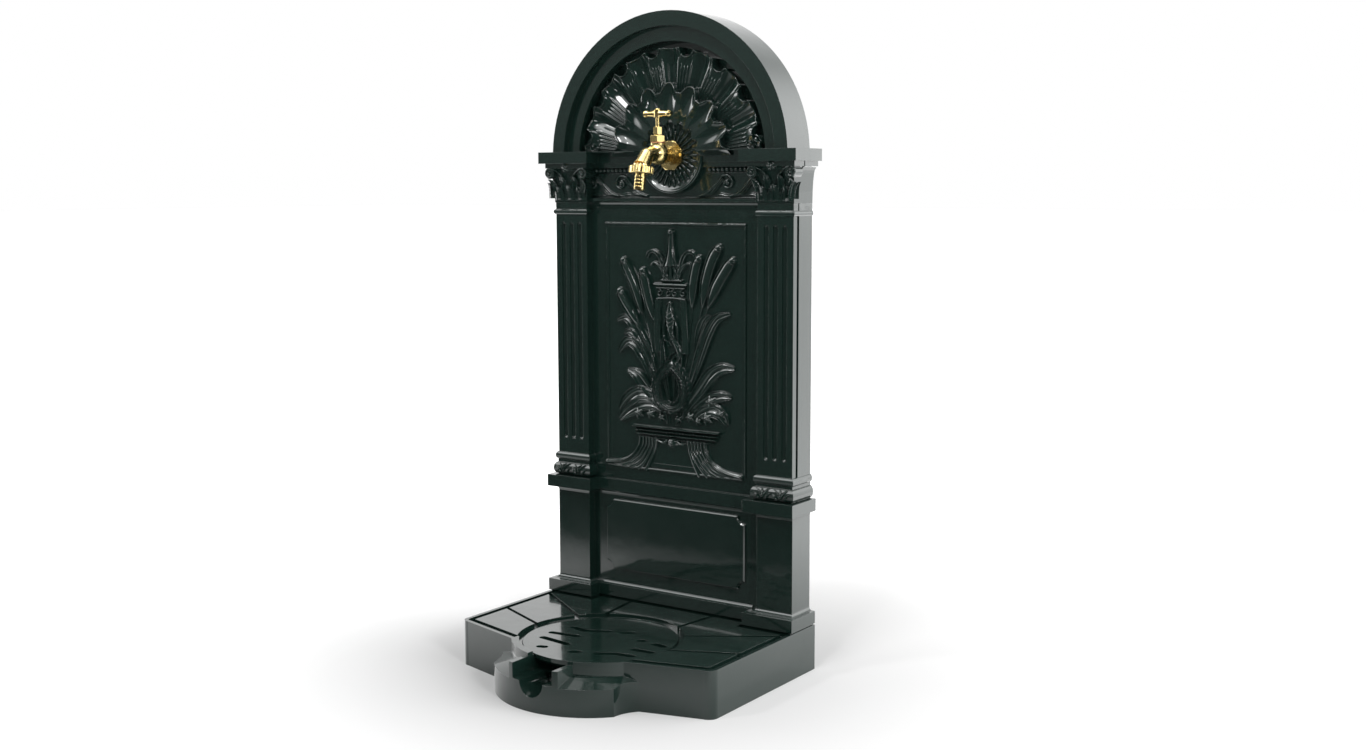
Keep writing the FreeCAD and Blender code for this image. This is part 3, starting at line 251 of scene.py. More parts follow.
def enamel(name, pale, deep):
    """Thick glossy paint over a sand casting: soft edges, shallow waves and fine grain."""
    n = new_material(name)
    waves = n.bump(n.noise(48), 0.12, 0.0010, n.soft_edges(0.0005))
    grain = n.bump(n.noise(420, 3.0, 0.6), 0.05, 0.0003, waves)
    return n.principled(n.mix(n.noise(9, 3.0), deep, pale), n.ramp(n.noise(30, 4.0), 0.12, 0.22), grain,
                        Specular_IOR_Level=0.3, Coat_Weight=0.75, Coat_Roughness=0.025, Coat_Normal=grain)


def metal(name, pale, deep, rough, scale=260):
    """A worked metal: tone and roughness vary a little, with fine tool marks."""
    n = new_material(name)
    marks = n.bump(n.noise(scale, 4.0, 0.65), 0.08, 0.0002, n.soft_edges(0.0004))
    colour = n.mix(n.ramp(n.noise(scale / 4, 3.0), 0.0, 1.0), deep, pale)
    return n.principled(colour, n.ramp(n.noise(scale / 2, 3.0), rough * 0.7, rough * 1.4), marks, Metallic=1.0)


def matt(name, pale, deep, rough, scale=300):
    """Rubber or fibre: dull, with a fine grain."""
    n = new_material(name)
    marks = n.bump(n.noise(scale, 4.0, 0.7), 0.3, 0.0002)
    colour = n.mix(n.noise(scale / 3, 3.0), deep, pale)
    return n.principled(colour, n.ramp(n.noise(scale / 2), rough * 0.9, rough), marks)


MATERIALS = {
    "green_paint": enamel("green_paint", (0.0112, 0.0275, 0.0222), (0.0072, 0.0205, 0.0160)),
    "polished_brass": metal("polished_brass", (0.76, 0.61, 0.28), (0.58, 0.44, 0.18), 0.2),
    "valve_brass": metal("valve_brass", (0.78, 0.60, 0.30), (0.66, 0.47, 0.20), 0.3),
    "seal_rubber": matt("seal_rubber", (0.035, 0.035, 0.035), (0.02, 0.02, 0.02), 0.8),
    "seal_fibre": matt("seal_fibre", (0.50, 0.12, 0.07), (0.38, 0.08, 0.05), 0.85),
    "zinc_steel": metal("zinc_steel", (0.66, 0.67, 0.69), (0.52, 0.53, 0.55), 0.32),
    "pipe_copper": metal("pipe_copper", (0.75, 0.42, 0.28), (0.58, 0.30, 0.19), 0.28, scale=120),
}


def dress_nodes():
    """Gives every CAD node the material that its record names."""
    for part in frame["record"]["subparts"]:
        node = NODES[part["node"]]
        for place in node.material_slots:
            place.link = "OBJECT"
            place.material = MATERIALS[part["material_slot"]]


# Mesh building

RIBBON_ROOT = 1.2        # how far a band's foot lies below the surface, in millimetres
DOME_ROOT = 1.0
NARROWEST = 0.05
GROOVE_SHARE = 0.28      # the width of a sunk middle, as a share of half the band


class Builder:
    """Collects closed ribbons and domes in one mesh."""

    def __init__(self):
        self.points = []
        self.faces = []

    def grid(self, rows, caps=False):
        """Faces over a grid of points, each row of the same length and closed on itself."""
        start = len(self.points)
        width = len(rows[0])
        for row in rows:
            self.points += row
        for i in range(len(rows) - 1):
            for j in range(width):
                k = (j + 1) % width
                a, b = start + i * width, start + (i + 1) * width
                self.faces.append((a + j, a + k, b + k, b + j))
        if caps:
            self.faces.append(tuple(start + j for j in range(width)))
            last = start + (len(rows) - 1) * width
            self.faces.append(tuple(last + j for j in reversed(range(width))))

    def shell(self, front, rear):
        """A closed body between rows of front points and rows of rear points."""
        self.grid([f + list(reversed(r)) for f, r in zip(front, rear)], caps=True)

    def ribbon(self, path, widths, heights, place, ridge=0.0, sides=8, root=RIBBON_ROOT):
        """A raised band along a path on a surface. place(u, v, h) gives the point h millimetres above the surface.
        Widths and heights are one number, or a list with one for each point. ridge 0 gives a round band, 1 a band
        with a sharp middle, and below 0 a band with a sunk middle."""
        if not isinstance(widths, list):
            widths = [widths] * len(path)
        if not isinstance(heights, list):
            heights = [heights] * len(path)
        rows = []
        for i, (u, v) in enumerate(path):
            nu, nv = sideways(path, i)
            half = max(widths[i] / 2, NARROWEST)
            top = []
            for s in between(-1, 1, sides + 1):
                rise = math.sqrt(max(0.0, 1 - s * s))
                if ridge > 0:
                    rise = rise * (1 - ridge) + (1 - abs(s)) * ridge
                elif ridge < 0:
                    rise *= 1 + ridge * math.exp(-(s / GROOVE_SHARE) ** 2)
                top.append(place(u + nu * half * s, v + nv * half * s, heights[i] * rise))
            under = [place(u + nu * half * s, v + nv * half * s, -root) for s in (1, -1)]
            rows.append(top + under)
        self.grid(rows, caps=True)

    def dome(self, u, v, radius, height, place, rings=5, sides=14, petals=0, depth=0.0):
        """A round boss, with a petalled edge when asked."""
        angles = [2 * math.pi * j / sides for j in range(sides)]
        rows = [[place(u + radius * math.cos(a), v + radius * math.sin(a), -DOME_ROOT) for a in angles]]
        for t in steps(rings + 1):
            row = []
            for a in angles:
                r = radius * (1 - t)
                wave = 1 - depth * (1 - t) * (0.5 + 0.5 * math.cos(petals * a)) if petals else 1
                h = height * math.sqrt(max(0.0, 1 - (1 - t) ** 2)) * (1 - 0.35 * (1 - wave))
                row.append(place(u + r * wave * math.cos(a), v + r * wave * math.sin(a), h))
            rows.append(row)
        self.grid(rows, caps=True)

    def piece(self, name, body="fountain", slot="green_paint", smooth=50, replace=()):
        mesh = bpy.data.meshes.new(name)
        mesh.from_pydata(self.points, [], self.faces)
        mesh.validate()
        thing = bpy.data.objects.new(name, mesh)
        bpy.context.scene.collection.objects.link(thing)
        weld = thing.modifiers.new("weld", "WELD")
        weld.merge_threshold = 0.00001
        mesh.materials.append(MATERIALS[slot])
        mesh.shade_smooth()
        mesh.set_sharp_from_angle(angle=math.radians(smooth))
        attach(thing, body)
        if replace:
            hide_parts(*replace)


# Relief: bulrushes and leaves round a spire, a niche and a wreath, on a stand. Paths run across and up the panel
# in millimetres. Leaves and rushes end with their width.

STEMS = [
    [(-61.7, 525.8), (-49.1, 489.0), (-38.3, 449.3), (-27.6, 408.1), (-18.7, 378.7), (-11.6, 343.3)],
    [(-37.9, 511.9), (-29.1, 475.1), (-22.0, 438.3), (-13.1, 401.6), (-7.9, 343.6)],
    [(-61.9, 492.9), (-43.8, 456.4), (-29.4, 419.9), (-18.6, 386.2), (-13.4, 343.2)],
    [(33.7, 525.1), (30.1, 492.9), (24.7, 455.9), (17.5, 418.6), (10.2, 380.9), (2.9, 341.5)],
    [(51.2, 525.8), (44.2, 493.5), (37.1, 456.6), (26.4, 414.7), (15.6, 378.4), (6.5, 341.9)],
    [(61.7, 526.3), (52.9, 494.0), (44.1, 457.0), (33.5, 412.3), (20.9, 375.8), (10.1, 342.2)],
]
RUSHES = [
    ([(-90, 585), (-79, 566), (-66, 540), (-57, 506)], 17),
    ([(-55, 570), (-49.5, 550), (-43, 526), (-36, 498)], 18),
    ([(-97, 539), (-87, 523), (-74, 506), (-61, 486)], 17),
    ([(46, 590), (40, 573), (35.5, 550), (33, 519)], 18),
    ([(80, 606), (69, 588), (59, 560), (51, 519)], 19),
    ([(103, 588), (91, 572), (76, 549), (61, 518)], 19),
]
LEAVES = [
    ([(-103, 494), (-86, 499), (-69, 486), (-54.8, 464.8), (-42, 440), (-31, 410)], 13),
    ([(-100, 447), (-82.6, 464), (-64, 456), (-49, 433.6), (-36.8, 404)], 13),
    ([(-90, 474), (-80, 479), (-66, 470), (-52, 448)], 9),
    ([(99, 512), (77, 504), (61.6, 483), (49.4, 454), (37, 421), (26, 394)], 14),
    ([(66, 509), (54.7, 500), (46, 480), (40.6, 457)], 10),
    ([(106, 433), (84, 432), (65, 420), (49, 400), (33, 380), (21, 364)], 17),
    ([(-84, 421), (-68, 415), (-53, 400), (-38.7, 385), (-26, 369)], 14),
    ([(-98, 358), (-83, 374), (-62.7, 386), (-44, 384), (-27.8, 372)], 19),
    ([(-100, 344), (-81.6, 359), (-61, 369), (-38.8, 371), (-22, 363)], 17),
    ([(101, 391), (84, 392), (66.8, 387), (49, 378), (35, 368)], 14),
    ([(94, 350), (84, 366), (68, 371), (51, 366), (37, 356)], 17),
    ([(-20, 470), (-17, 440), (-12, 405), (-6, 372)], 7),
    ([(14, 470), (12, 440), (8, 405), (3, 372)], 7),
]

# Points of paired forms, for on_side: middle line, distance from it, height
OUTER_CURL = ((-3, 14, 574), (-3, 20, 590), (-3, 30, 599), (-3, 40, 597), (-3, 43, 590))
INNER_CURL = ((-3, 12, 566), (-3, 22, 578), (-3, 31, 583), (-3, 36, 578))
CUP_EDGE = ((-3, 16, 578), (-3, 14, 572), (-3, 11, 566), (-3, 13, 559), (-3, 19, 556))
NICHE_POST = ((-5, 23, 528), (-5, 24, 500), (-4, 25, 470), (-3, 24, 450))
WING = ((-5, 5, 508), (-5, 11, 492), (-4, 12, 474), (2, 8, 458))
SWAG = ((-3, 8, 319), (-3, 16, 315), (-3, 27, 318))
OUTER_LEG = ((-3, 58, 322), (-3, 61, 306), (-3, 73, 291), (-3, 93, 281), (-3, 121, 276))
INNER_LEG = ((-3, 29, 322), (-3, 32, 306), (-3, 38, 290), (-3, 44, 278), (-3, 49, 270))

BIRD = ((-5, 524), (-6, 514), (-5, 500), (-4, 484), (1, 470), (9, 458), (12, 446), (6, 436), (-3, 430))

# Flowers at the foot: place, radius and height
FLOWERS = (
    (67, 383, 13, 6), (60, 358, 12, 6.5), (84, 366, 10, 5.5), (29, 357, 10, 5), (-63, 357, 11, 5.5),
    (-41, 357, 10, 5.5), (9, 353, 8, 5), (-1, 372, 7, 5.5), (44, 352, 8, 5), (-22, 353, 8, 5),
)

# Mouldings of the stand's shelf: height up the panel, half length, width and relief
SHELF_MIDDLE = 5
SHELF = ((337, 77, 5.0, 10.5), (331.5, 74, 4.0, 6.5), (326.5, 71, 4.4, 8.0), (321, 66, 3.2, 5.0))

LEAF_POINTS = 30
LEAF_TIP, LEAF_PEAK, LEAF_TAIL = 0.3, 0.4, 0.35
RUSH_POINTS = 34
RUSH_NECK = 0.55
SPIRE_POINTS = 26


def leaf_width(t):
    """Relative width of a leaf, from its tip to its stalk."""
    if t < LEAF_PEAK:
        return LEAF_TIP + (1 - LEAF_TIP) * math.sin(t / LEAF_PEAK * math.pi / 2) ** 0.8
    return LEAF_TAIL + (1 - LEAF_TAIL) * math.cos((t - LEAF_PEAK) / (1 - LEAF_PEAK) * math.pi / 2) ** 0.9


def rush_width(t):
    """Relative width of a rush head, blunt at its tip and drawn in to its stem."""
    if t < RUSH_NECK:
        return 0.74 + 0.26 * math.sin(math.pi / 2 * min(1.0, t / 0.16))
    return 0.16 + 0.84 * math.cos((t - RUSH_NECK) / (1 - RUSH_NECK) * math.pi / 2) ** 0.8


def carve_plants(b, plane):
    """Stems, hollow leaves with a middle vein and rolled edges, and rush heads with a ring at their tip."""
    for path in STEMS:
        b.ribbon(smooth_path(path, 26), 2.6, 2.4, plane, sides=6)
    for path, width in LEAVES:
        line = smooth_path(path, LEAF_POINTS)
        shape = [leaf_width(t) for t in steps(LEAF_POINTS)]
        b.ribbon(line, scaled(shape, 1.4 * width), scaled(shape, 6.2, 0.6), plane, ridge=-0.62, sides=12)
        b.ribbon(line[2:-2], 1.4, scaled(shape[2:-2], 3.9, 0.6), plane, sides=6)
        for side in (-1, 1):
            rolled = side_line(line, scaled(shape, side * 0.62 * width))
            b.ribbon(rolled, scaled(shape, 2.6), scaled(shape, 6.6, 0.6), plane)
    for path, width in RUSHES:
        line = smooth_path(path, RUSH_POINTS)
        shape = [rush_width(t) for t in steps(RUSH_POINTS)]
        b.ribbon(line, scaled(shape, 0.96 * width), scaled(shape, 8.0, 0.5), plane, sides=16)
        b.dome(*line[0], 0.36 * width, 8.2, plane, rings=6, sides=20)
        for side in (-1, 1):
            rolled = side_line(line, scaled(shape, side * 0.42 * width))
            b.ribbon(rolled, scaled(shape, 2.3), scaled(shape, 7.4, 0.5), plane)
        u, v = line[1]
        reach = 0.34 * width
        b.ribbon([(u - reach, v - 3.5), (u, v - 1.5), (u + reach, v - 3.5)], 2.2, [8.6, 9.6, 8.6], plane)


def carve_spire(b, plane):
    """A flared spire between two pairs of curls, on a bulging cup."""
    spire = smooth_path([(STAND_MIDDLE, v) for v in (628, 616, 603, 590, 578)], SPIRE_POINTS)
    swell = [8.5 + 19 * t ** 2.8 for t in steps(SPIRE_POINTS)]
    lift = [2.5 * t ** 2 for t in steps(SPIRE_POINTS)]
    b.ribbon(spire, swell, [7.5 + h for h in lift], plane, sides=16)
    b.dome(STAND_MIDDLE, 628, 5.4, 9.0, plane, rings=6, sides=20)
    for side in (-1, 1):
        b.ribbon(side_line(spire, scaled(swell, side * 0.46)), 2.6, [6.5 + h for h in lift], plane)
    for side in (-1, 1):
        curl = smooth_path(on_side(side, OUTER_CURL), 18)
        b.ribbon(curl, between(10.5, 6.0, 18), 6.4, plane, ridge=-0.5, sides=10)
        curl = smooth_path(on_side(side, INNER_CURL), 14)
        b.ribbon(curl, between(7.0, 4.0, 14), 5.4, plane)
    for side in (-1, 1):
        b.ribbon(smooth_path(on_side(side, CUP_EDGE), 12), 4.0, 6.0, plane)
    for v, half, height in ((579, 17, 7.0), (557, 15, 6.4)):
        b.ribbon([(STAND_MIDDLE + step * half, v) for step in (-1, 0, 1)], 4.0, height, plane)
    for share in (-1.0, -0.5, 0.0, 0.5, 1.0):
        bulge = [(STAND_MIDDLE + share * half, v) for half, v in ((9, 558), (14, 564), (14.5, 570), (10, 577))]
        b.ribbon(smooth_path(bulge, 12), 6.2, 8.0 - 2.6 * abs(share), plane)


def carve_niche(b, plane):
    """The two mouldings, four scrolls, posts and arch of the niche that the bird stands in."""
    moulding = [(-34, 550.6), (-20, 550.8), (-3, 551), (12, 550.9), (25, 550.8)]
    b.ribbon(moulding, 6.5, 5.8, plane, ridge=0.3)
    b.ribbon([(-30, 545.5), (-3, 545.5), (21, 545.5)], 3, 4.2, plane)
    for side in (-1, 1):
        for away in (21, 6):
            scroll = spiral(-4 + side * away, 538, math.pi / 2, side * 1.1, 6.0, 1.5, 20)
            b.ribbon(scroll, 2.6, 3.6, plane, sides=6)
        b.ribbon(smooth_path(on_side(side, NICHE_POST), 16), 13.0, 6.0, plane, ridge=-0.25, sides=14)
    b.ribbon(smooth_path([(-30, 529), (-4, 531), (21, 529)], 8), 4, 3.6, plane)


def carve_bird(b, plane):
    """A slim S-shaped form like a bird, with a beak, breast feathers, wings and a tail."""
    count = 34
    body = smooth_path(BIRD, count)
    swell = [4 + 13 * math.exp(-((t - 0.24) / 0.17) ** 2) + 7 * math.exp(-((t - 0.66) / 0.16) ** 2)
             for t in steps(count)]
    b.ribbon(body, swell, [5.0 + 0.22 * w for w in swell], plane, sides=14)
    b.dome(*BIRD[0], 3.6, 6.6, plane)
    b.ribbon([(-7, 525), (-12, 521), (-15, 516)], [2.6, 1.8, 0.8], [4.6, 3.8, 2.6], plane)
    for i in range(5, 18, 2):
        u, v = body[i]
        half = 0.4 * swell[i]
        b.ribbon([(u - half, v + 2.5), (u, v - 1.5), (u + half, v + 2.5)], 1.5, [6.6, 9.6, 6.6], plane, sides=6)
    for side in (-1, 1):
        b.ribbon(smooth_path(on_side(side, WING), 18), swelling(1.6, 4, 18), 5.4, plane, ridge=-0.4)
    for k in range(3):
        feather = [(4 + 6 * k, 452 - 4 * k), (-8 + 4 * k, 444 - 5 * k), (-12 + 3 * k, 432 - 2 * k)]
        b.ribbon(smooth_path(feather, 10), between(4.2, 2.4, 10), 5.0, plane, ridge=0.4, sides=6)


def wreath_point(a, side, spread=0.0):
    """A point on the drop-shaped wreath, a being the angle down from its top."""
    top = math.exp(-(a / 0.5) ** 2)
    u = -1 + side * (25 + spread) * math.sin(a) * (1 - 0.25 * top)
    return u, 397 + (29 + spread) * math.cos(a) + 6 * top


def carve_wreath(b, plane):
    """The wreath's round core, and three rows of laurel leaves down each of its sides."""
    down = [math.pi * t for t in steps(49)]
    core = [wreath_point(a, 1) for a in down] + [wreath_point(a, -1) for a in reversed(down[:-1])]
    b.ribbon(core, 20, 10.5, plane, sides=12)
    first, leaf_count = 0.12, 14
    for k in range(leaf_count):
        a = first + k * (math.pi - first) / leaf_count
        for side in (-1, 1):
            for spread, width in ((-8.5, 5.4), (0.0, 6.4), (8.5, 5.8)):
                leaf = [wreath_point(a + ahead, side, spread * share)
                        for ahead, share in ((0.0, 1.0), (0.15, 0.8), (0.30, 0.45))]
                b.ribbon(leaf, [0.8, width, 1.8], [10.5, 14.0, 11.0], plane, ridge=0.5)


def carve_flowers(b, plane):
    """Flowers of two rings of petals and an eye."""
    for u, v, radius, height in FLOWERS:
        b.dome(u, v, radius, height * 1.25, plane, rings=6, sides=40, petals=5, depth=0.5)
        b.dome(u, v, radius * 0.6, height * 1.6, plane, rings=5, sides=30, petals=5, depth=0.45)
        b.dome(u, v, radius * 0.24, height * 1.8, plane)


def carve_stand(b, plane):
    """A moulded shelf with a row of beads, a swag with a flower, and two fluted legs on a fillet."""
    for v, half, width, height in SHELF:
        moulding = [(SHELF_MIDDLE + step * half, v) for step in (-1, -0.5, 0, 0.5, 1)]
        b.ribbon(moulding, width, height, plane, ridge=0.25)
    for k in range(24):
        b.dome(SHELF_MIDDLE + (k - 11.5) * 6.0, 331.5, 2.2, 8.6, plane, rings=4, sides=10)
    for side in (-1, 1):
        swag = smooth_path(on_side(side, SWAG), 10)
        b.ribbon(swag, [4, 4.5, 5, 5, 5, 5, 5, 4.5, 4, 3.5], 4.4, plane)
    b.dome(STAND_MIDDLE, 316, 9.5, 6, plane, sides=24, petals=8, depth=0.2)
    b.dome(STAND_MIDDLE, 316, 4, 8, plane)
    for side in (-1, 1):
        outer, inner = on_side(side, OUTER_LEG), on_side(side, INNER_LEG)
        for t in steps(6):
            flute = [(u0 * (1 - t) + u1 * t, v0 * (1 - t) + v1 * t) for (u0, v0), (u1, v1) in zip(outer, inner)]
            b.ribbon(smooth_path(flute, 22), between(5.4, 8.6, 22), between(5.2, 3.6, 22), plane)
        b.ribbon(smooth_path(outer, 24), 4.0, 6.4, plane)
        b.dome(STAND_MIDDLE - side * 121, 277, 4.4, 6, plane)
    b.ribbon([(u, 272.5) for u in (-122, -60, 0, 60, 120)], 4.4, 3.4, plane)


def make_relief():
    b = Builder()
    plane = flat(PANEL_FRONT)
    for carve in (carve_plants, carve_spire, carve_niche, carve_bird, carve_wreath, carve_flowers, carve_stand):
        carve(b, plane)
    b.piece("relief_carving")


# Filler round the panel: start, end, number of points, width, height and place in the noise
SEAMS = (
    ((-125, 639.5), (125, 639.5), 90, 3.8, 2.6, 1.0),
    ((124, 280), (124, 638), 120, 2.8, 1.8, 5.0),
    ((-124, 280), (-124, 638), 90, 2.0, 1.2, 9.0),
)


def make_panel_seams():
    """Uneven beads of filler along the panel's top, right and left edges."""
    b = Builder()
    for (u0, v0), (u1, v1), count, width, height, seed in SEAMS:
        line = []
        widths = []
        for i, t in enumerate(steps(count)):
            waver = 0.5 * noise.noise(Vector((i * 0.37, seed, 0)))
            line.append((u0 + (u1 - u0) * t + (waver if u0 == u1 else 0),
                         v0 + (v1 - v0) * t + (waver if v0 == v1 else 0)))
            widths.append(width * (1 + 0.5 * noise.noise(Vector((i * 0.9, seed, 3.1)))))
        b.ribbon(line, widths, [height * w / width for w in widths], flat(SEAM_FRONT), sides=6)
    b.piece("panel_seams")


# Frieze

SCROLL_STARTS = (50, 102)
BEAD_COUNT = 40
BEAD_END = 147
BEAD_GAP = 57            # half the width that the rosette keeps free of beads


def make_frieze():
    """Two scrolls on each side of the rosette, and the row of beads above them."""
    b = Builder()
    plane = flat(PANEL_FRONT)
    for side in (-1, 1):
        for start in SCROLL_STARTS:
            for offset, width in ((0, 4.4), (5.6, 2.8), (10.0, 2.4)):
                rise = [(start - 4 + offset, 679.5), (start + 10 + offset, 684), (start + 24 + offset * 0.7, 696),
                        (start + 34 + offset * 0.5, 707 - offset * 0.3)]
                if offset == 0:
                    curl = spiral(start + 44, 698.5, math.radians(128), -1.25, 12.5, 2.5, 34)
                    line = smooth_path(rise + curl[::3], 60)
                else:
                    line = smooth_path(rise, 24)
                b.ribbon([(side * u, v) for u, v in line], width, 4.8 - 0.14 * offset, plane)
            b.dome(side * (start + 44), 698.5, 4.0, 5.0, plane)
            leaf = smooth_path([(start + 52, 683), (start + 43, 681), (start + 31, 683), (start + 22, 680)], 14)
            b.ribbon([(side * u, v) for u, v in leaf], swelling(1, 5, 14), 2.4, plane, ridge=-0.5)
    b.ribbon([(u, 677.5) for u in (-151, -75, 0, 75, 151)], 2.4, 1.2, plane)
    b.piece("frieze_scrolls")

    b = Builder()
    plane = flat(BEAD_FRONT)
    for x in between(-BEAD_END, BEAD_END, BEAD_COUNT):
        if abs(x) > BEAD_GAP:
            b.dome(x, 717.3, 3.4, 5.4, plane, rings=6, sides=16)
    for fillet in ((-151, -100, -57.5), (57.5, 100, 151)):
        b.ribbon([(u, 712.8) for u in fillet], 1.4, 1.4, plane)
    b.piece("frieze_beads")


# Capitals and bases

ACANTHUS_LOBES = 5
ACANTHUS_ROWS = 18
ACANTHUS_COLUMNS = 12
ACANTHUS_THICK = 1.6
UP = Vector((0, 0, 1))
OUT = Vector((0, -1, 0))


def acanthus(b, base, up, out, length, width, curl):
    """A lobed leaf that stands on a base point and turns over at its tip. up and out are unit vectors."""
    base = Vector(base)
    across = up.cross(out)
    front, rear = [], []
    for t in steps(ACANTHUS_ROWS + 1):
        spread = max(math.sin(math.pi * min(1.0, 0.22 + 0.78 * t)) ** 0.55 * (1 - 0.15 * t), 0.06)
        if 0.1 < t < 0.95:
            spread *= 1 - 0.2 * abs(math.sin(ACANTHUS_LOBES * math.pi * t)) ** 0.5
        bend = t ** 2.4
        centre = base + up * (length * (t - 0.22 * bend)) + out * (2.0 + curl * bend)
        line, under = [], []
        for s in between(-1, 1, ACANTHUS_COLUMNS + 1):
            hollow = 1.6 * math.cos(s * 3 * math.pi) * (1 - 0.4 * t) * (1 - abs(s)) + 1.3 * (1 - abs(s))
            hollow += 1.4 * math.exp(-(s / 0.14) ** 2)
            point = centre + across * (width / 2 * spread * s) + out * (hollow * (1 - 0.5 * bend) - 1.8 * s * s)
            line.append(at(*point))
            under.append(at(*(point - out * ACANTHUS_THICK - up * 0.4 * bend)))
        front.append(line)
        rear.append(under)
    b.shell(front, rear)


def capital_slope(middle):
    """Places points on the capital's front, which comes forward towards its corners."""
    return lambda u, v, h: at(u, -(52 + 10 * min(1, abs(u - middle) / 30)) - h, v)


def make_capitals():
    """Two rows of leaves, corner scrolls on arms, and a flower in the middle of each capital."""
    b = Builder()
    for side in (-1, 1):
        middle = side * PILASTER_MIDDLE
        for x, length in ((-20, 27), (0, 30), (20, 27)):
            acanthus(b, (middle + x, -51.0, 673), UP, OUT, length, 21, 8)
        for x in (-11, 11):
            acanthus(b, (middle + x, -53.0, 690), UP, OUT, 25, 17, 8.5)
        for turn in (-1, 1):
            lean = Vector((0.35 * turn, 0, 0.94)).normalized()
            acanthus(b, (middle + turn * 24.3, -54.0, 686), lean, OUT, 25, 13, 9)
        for turn in (-1, 1):
            reach = turn * 31.5
            plane = flat(CAPITAL_SCROLL_FRONT)
            scroll = spiral(middle + reach, 713, math.pi / 2, -turn * 1.6, 8.0, 1.2, 40)
            b.ribbon(scroll, between(2.8, 1.6, 40), 1.6, plane, sides=6)
            b.dome(middle + reach, 713, 2.4, 2.6, plane)
            arm = [(middle + reach * share, v) for share, v in ((0.22, 702), (0.4, 712), (0.72, 719), (1, 721))]
            b.ribbon(smooth_path(arm, 18), between(4.2, 3.0, 18), 3.2, capital_slope(middle))
        plane = flat(CAPITAL_FLOWER_FRONT)
        b.dome(middle, 722.5, 7.5, 4.0, plane, rings=6, sides=40, petals=5, depth=0.4)
        b.dome(middle, 722.5, 2.8, 5.4, plane)
        for y in (-46, -58):
            acanthus(b, (side * 209.6, y, 676), UP, Vector((side, 0, 0)), 30, 12, 6)
    b.piece("capital_leaves")


# Strokes of one leaf on the torus: foot and tip as millimetres along it and degrees round it, and the width
LEAF_STROKES = (
    ((0.0, -32), (-13.0, 58), 5.2), ((0.5, -12), (-3.5, 66), 4.2), ((1.0, -28), (10.5, 60), 5.2),
    ((6.0, -42), (14.5, 22), 4.4), ((-6.5, -44), (-14.5, 12), 4.4),
)
STROKE_POINTS = 13
TORUS_FRONT, TORUS_Z = 50.5, 260.5
TORUS_DEPTH, TORUS_RISE = 6.0, 9.5


def on_torus(u, v, h):
    """Places points on the lower torus of a base, u along it and v in degrees round it."""
    a = math.radians(v)
    return at(u, -TORUS_FRONT - (TORUS_DEPTH + h) * math.cos(a), TORUS_Z + (TORUS_RISE + h) * math.sin(a))


def make_base_leaves():
    """Two leaves carved on the front of the lower torus of each pilaster's base."""
    b = Builder()
    shape = swelling(0.3, 0.7, STROKE_POINTS, 0.7)
    for side in (-1, 1):
        for unit in (-15.0, 15.0):
            for (u0, v0), (u1, v1), width in LEAF_STROKES:
                line = [(side * (PILASTER_MIDDLE + unit + u0 + (u1 - u0) * t * t), v0 + (v1 - v0) * t)
                        for t in steps(STROKE_POINTS)]
                b.ribbon(line, scaled(shape, width), scaled(shape, 3.6), on_torus, ridge=0.4)
    b.piece("base_leaves")


# Scallop

LOBE_PITCH = 22.5        # degrees
RIB_PITCH = 0.109        # ribs and their group as shares of the lobes' pitch
RIB_REACH = 0.27
RIB_HEIGHT = 2.3
CHANNEL_HALF = 0.27
NOTCH_HALF = 0.2
ARCH_HALF = 0.36
SHELL_ANGLES = [math.radians(0.6 + 178.8 * i / 1200) for i in range(1201)]


def phase(a, shift=0.0):
    """How far an angle is from the middle of its lobe, from -0.5 to 0.5 of the lobes' pitch."""
    t = (math.degrees(a) - 90) / LOBE_PITCH + shift
    return t - round(t)


def fan_ribs(a):
    """Fine ribs in a group round the line between two channels."""
    from_group = 0.5 - abs(phase(a))
    inside = smooth_step((RIB_REACH - from_group) / 0.03)
    return inside * (0.5 + 0.5 * math.cos(2 * math.pi * from_group / RIB_PITCH)) ** 1.6


def outer_edge(a):
    """The outer tier's radius: notched between the lobes, with a lip beside each notch."""
    q = 0.5 - abs(phase(a))
    notch = math.sqrt(max(0.0, 1 - (q / NOTCH_HALF) ** 2))
    lip = math.exp(-((q - 0.225) / 0.03) ** 2)
    return 154.5 - 10.5 * notch + 1.2 * lip


def outer_height(a, t):
    """The outer tier's height, t being the share of its radius: hollow channels, ribs and a rim turned forward."""
    hollow = math.sin(min(1.0, abs(phase(a)) / CHANNEL_HALF) * math.pi / 2) ** 2
    grown = math.sin(min(1.0, max(0.0, t - 0.3) / 0.6) * math.pi / 2)
    rise = 2.0 + 8.0 * hollow * grown
    rise += RIB_HEIGHT * fan_ribs(a) * smooth_step((0.93 - t) / 0.08)
    return rise + 7.0 * max(0.0, (t - 0.84) / 0.16) ** 2 * (1 - 0.3 * hollow)


def inner_arch(a):
    """How far an angle is into the inner tier's arches, which stand between the outer tier's."""
    from_peak = 0.5 - abs(phase(a, 0.5))
    return math.cos(min(1.0, from_peak / ARCH_HALF) * math.pi / 2)


def inner_edge(a):
    return 92.5 + 13.5 * inner_arch(a) ** 0.9


def inner_height(a, t):
    rise = 14.0 - 3.5 * inner_arch(a) ** 1.5 * smooth_step((t - 0.45) / 0.4)
    return rise + 4.0 * max(0.0, (t - 0.80) / 0.20) ** 2


def fan(b, shares, edge, height, back):
    """A fan of surface over shares of its radius, closed by a flat back at so many millimetres behind its floor."""
    front, rear = [], []
    for a in SHELL_ANGLES:
        spoke = [(edge(a) * t * math.cos(a), SHELL_Z + edge(a) * t * math.sin(a), t) for t in shares]
        front.append([at(x, -SHELL_FLOOR - height(a, t), z) for x, z, t in spoke])
        rear.append([at(x, -SHELL_FLOOR + back, z) for x, z, t in spoke])
    b.shell(front, rear)


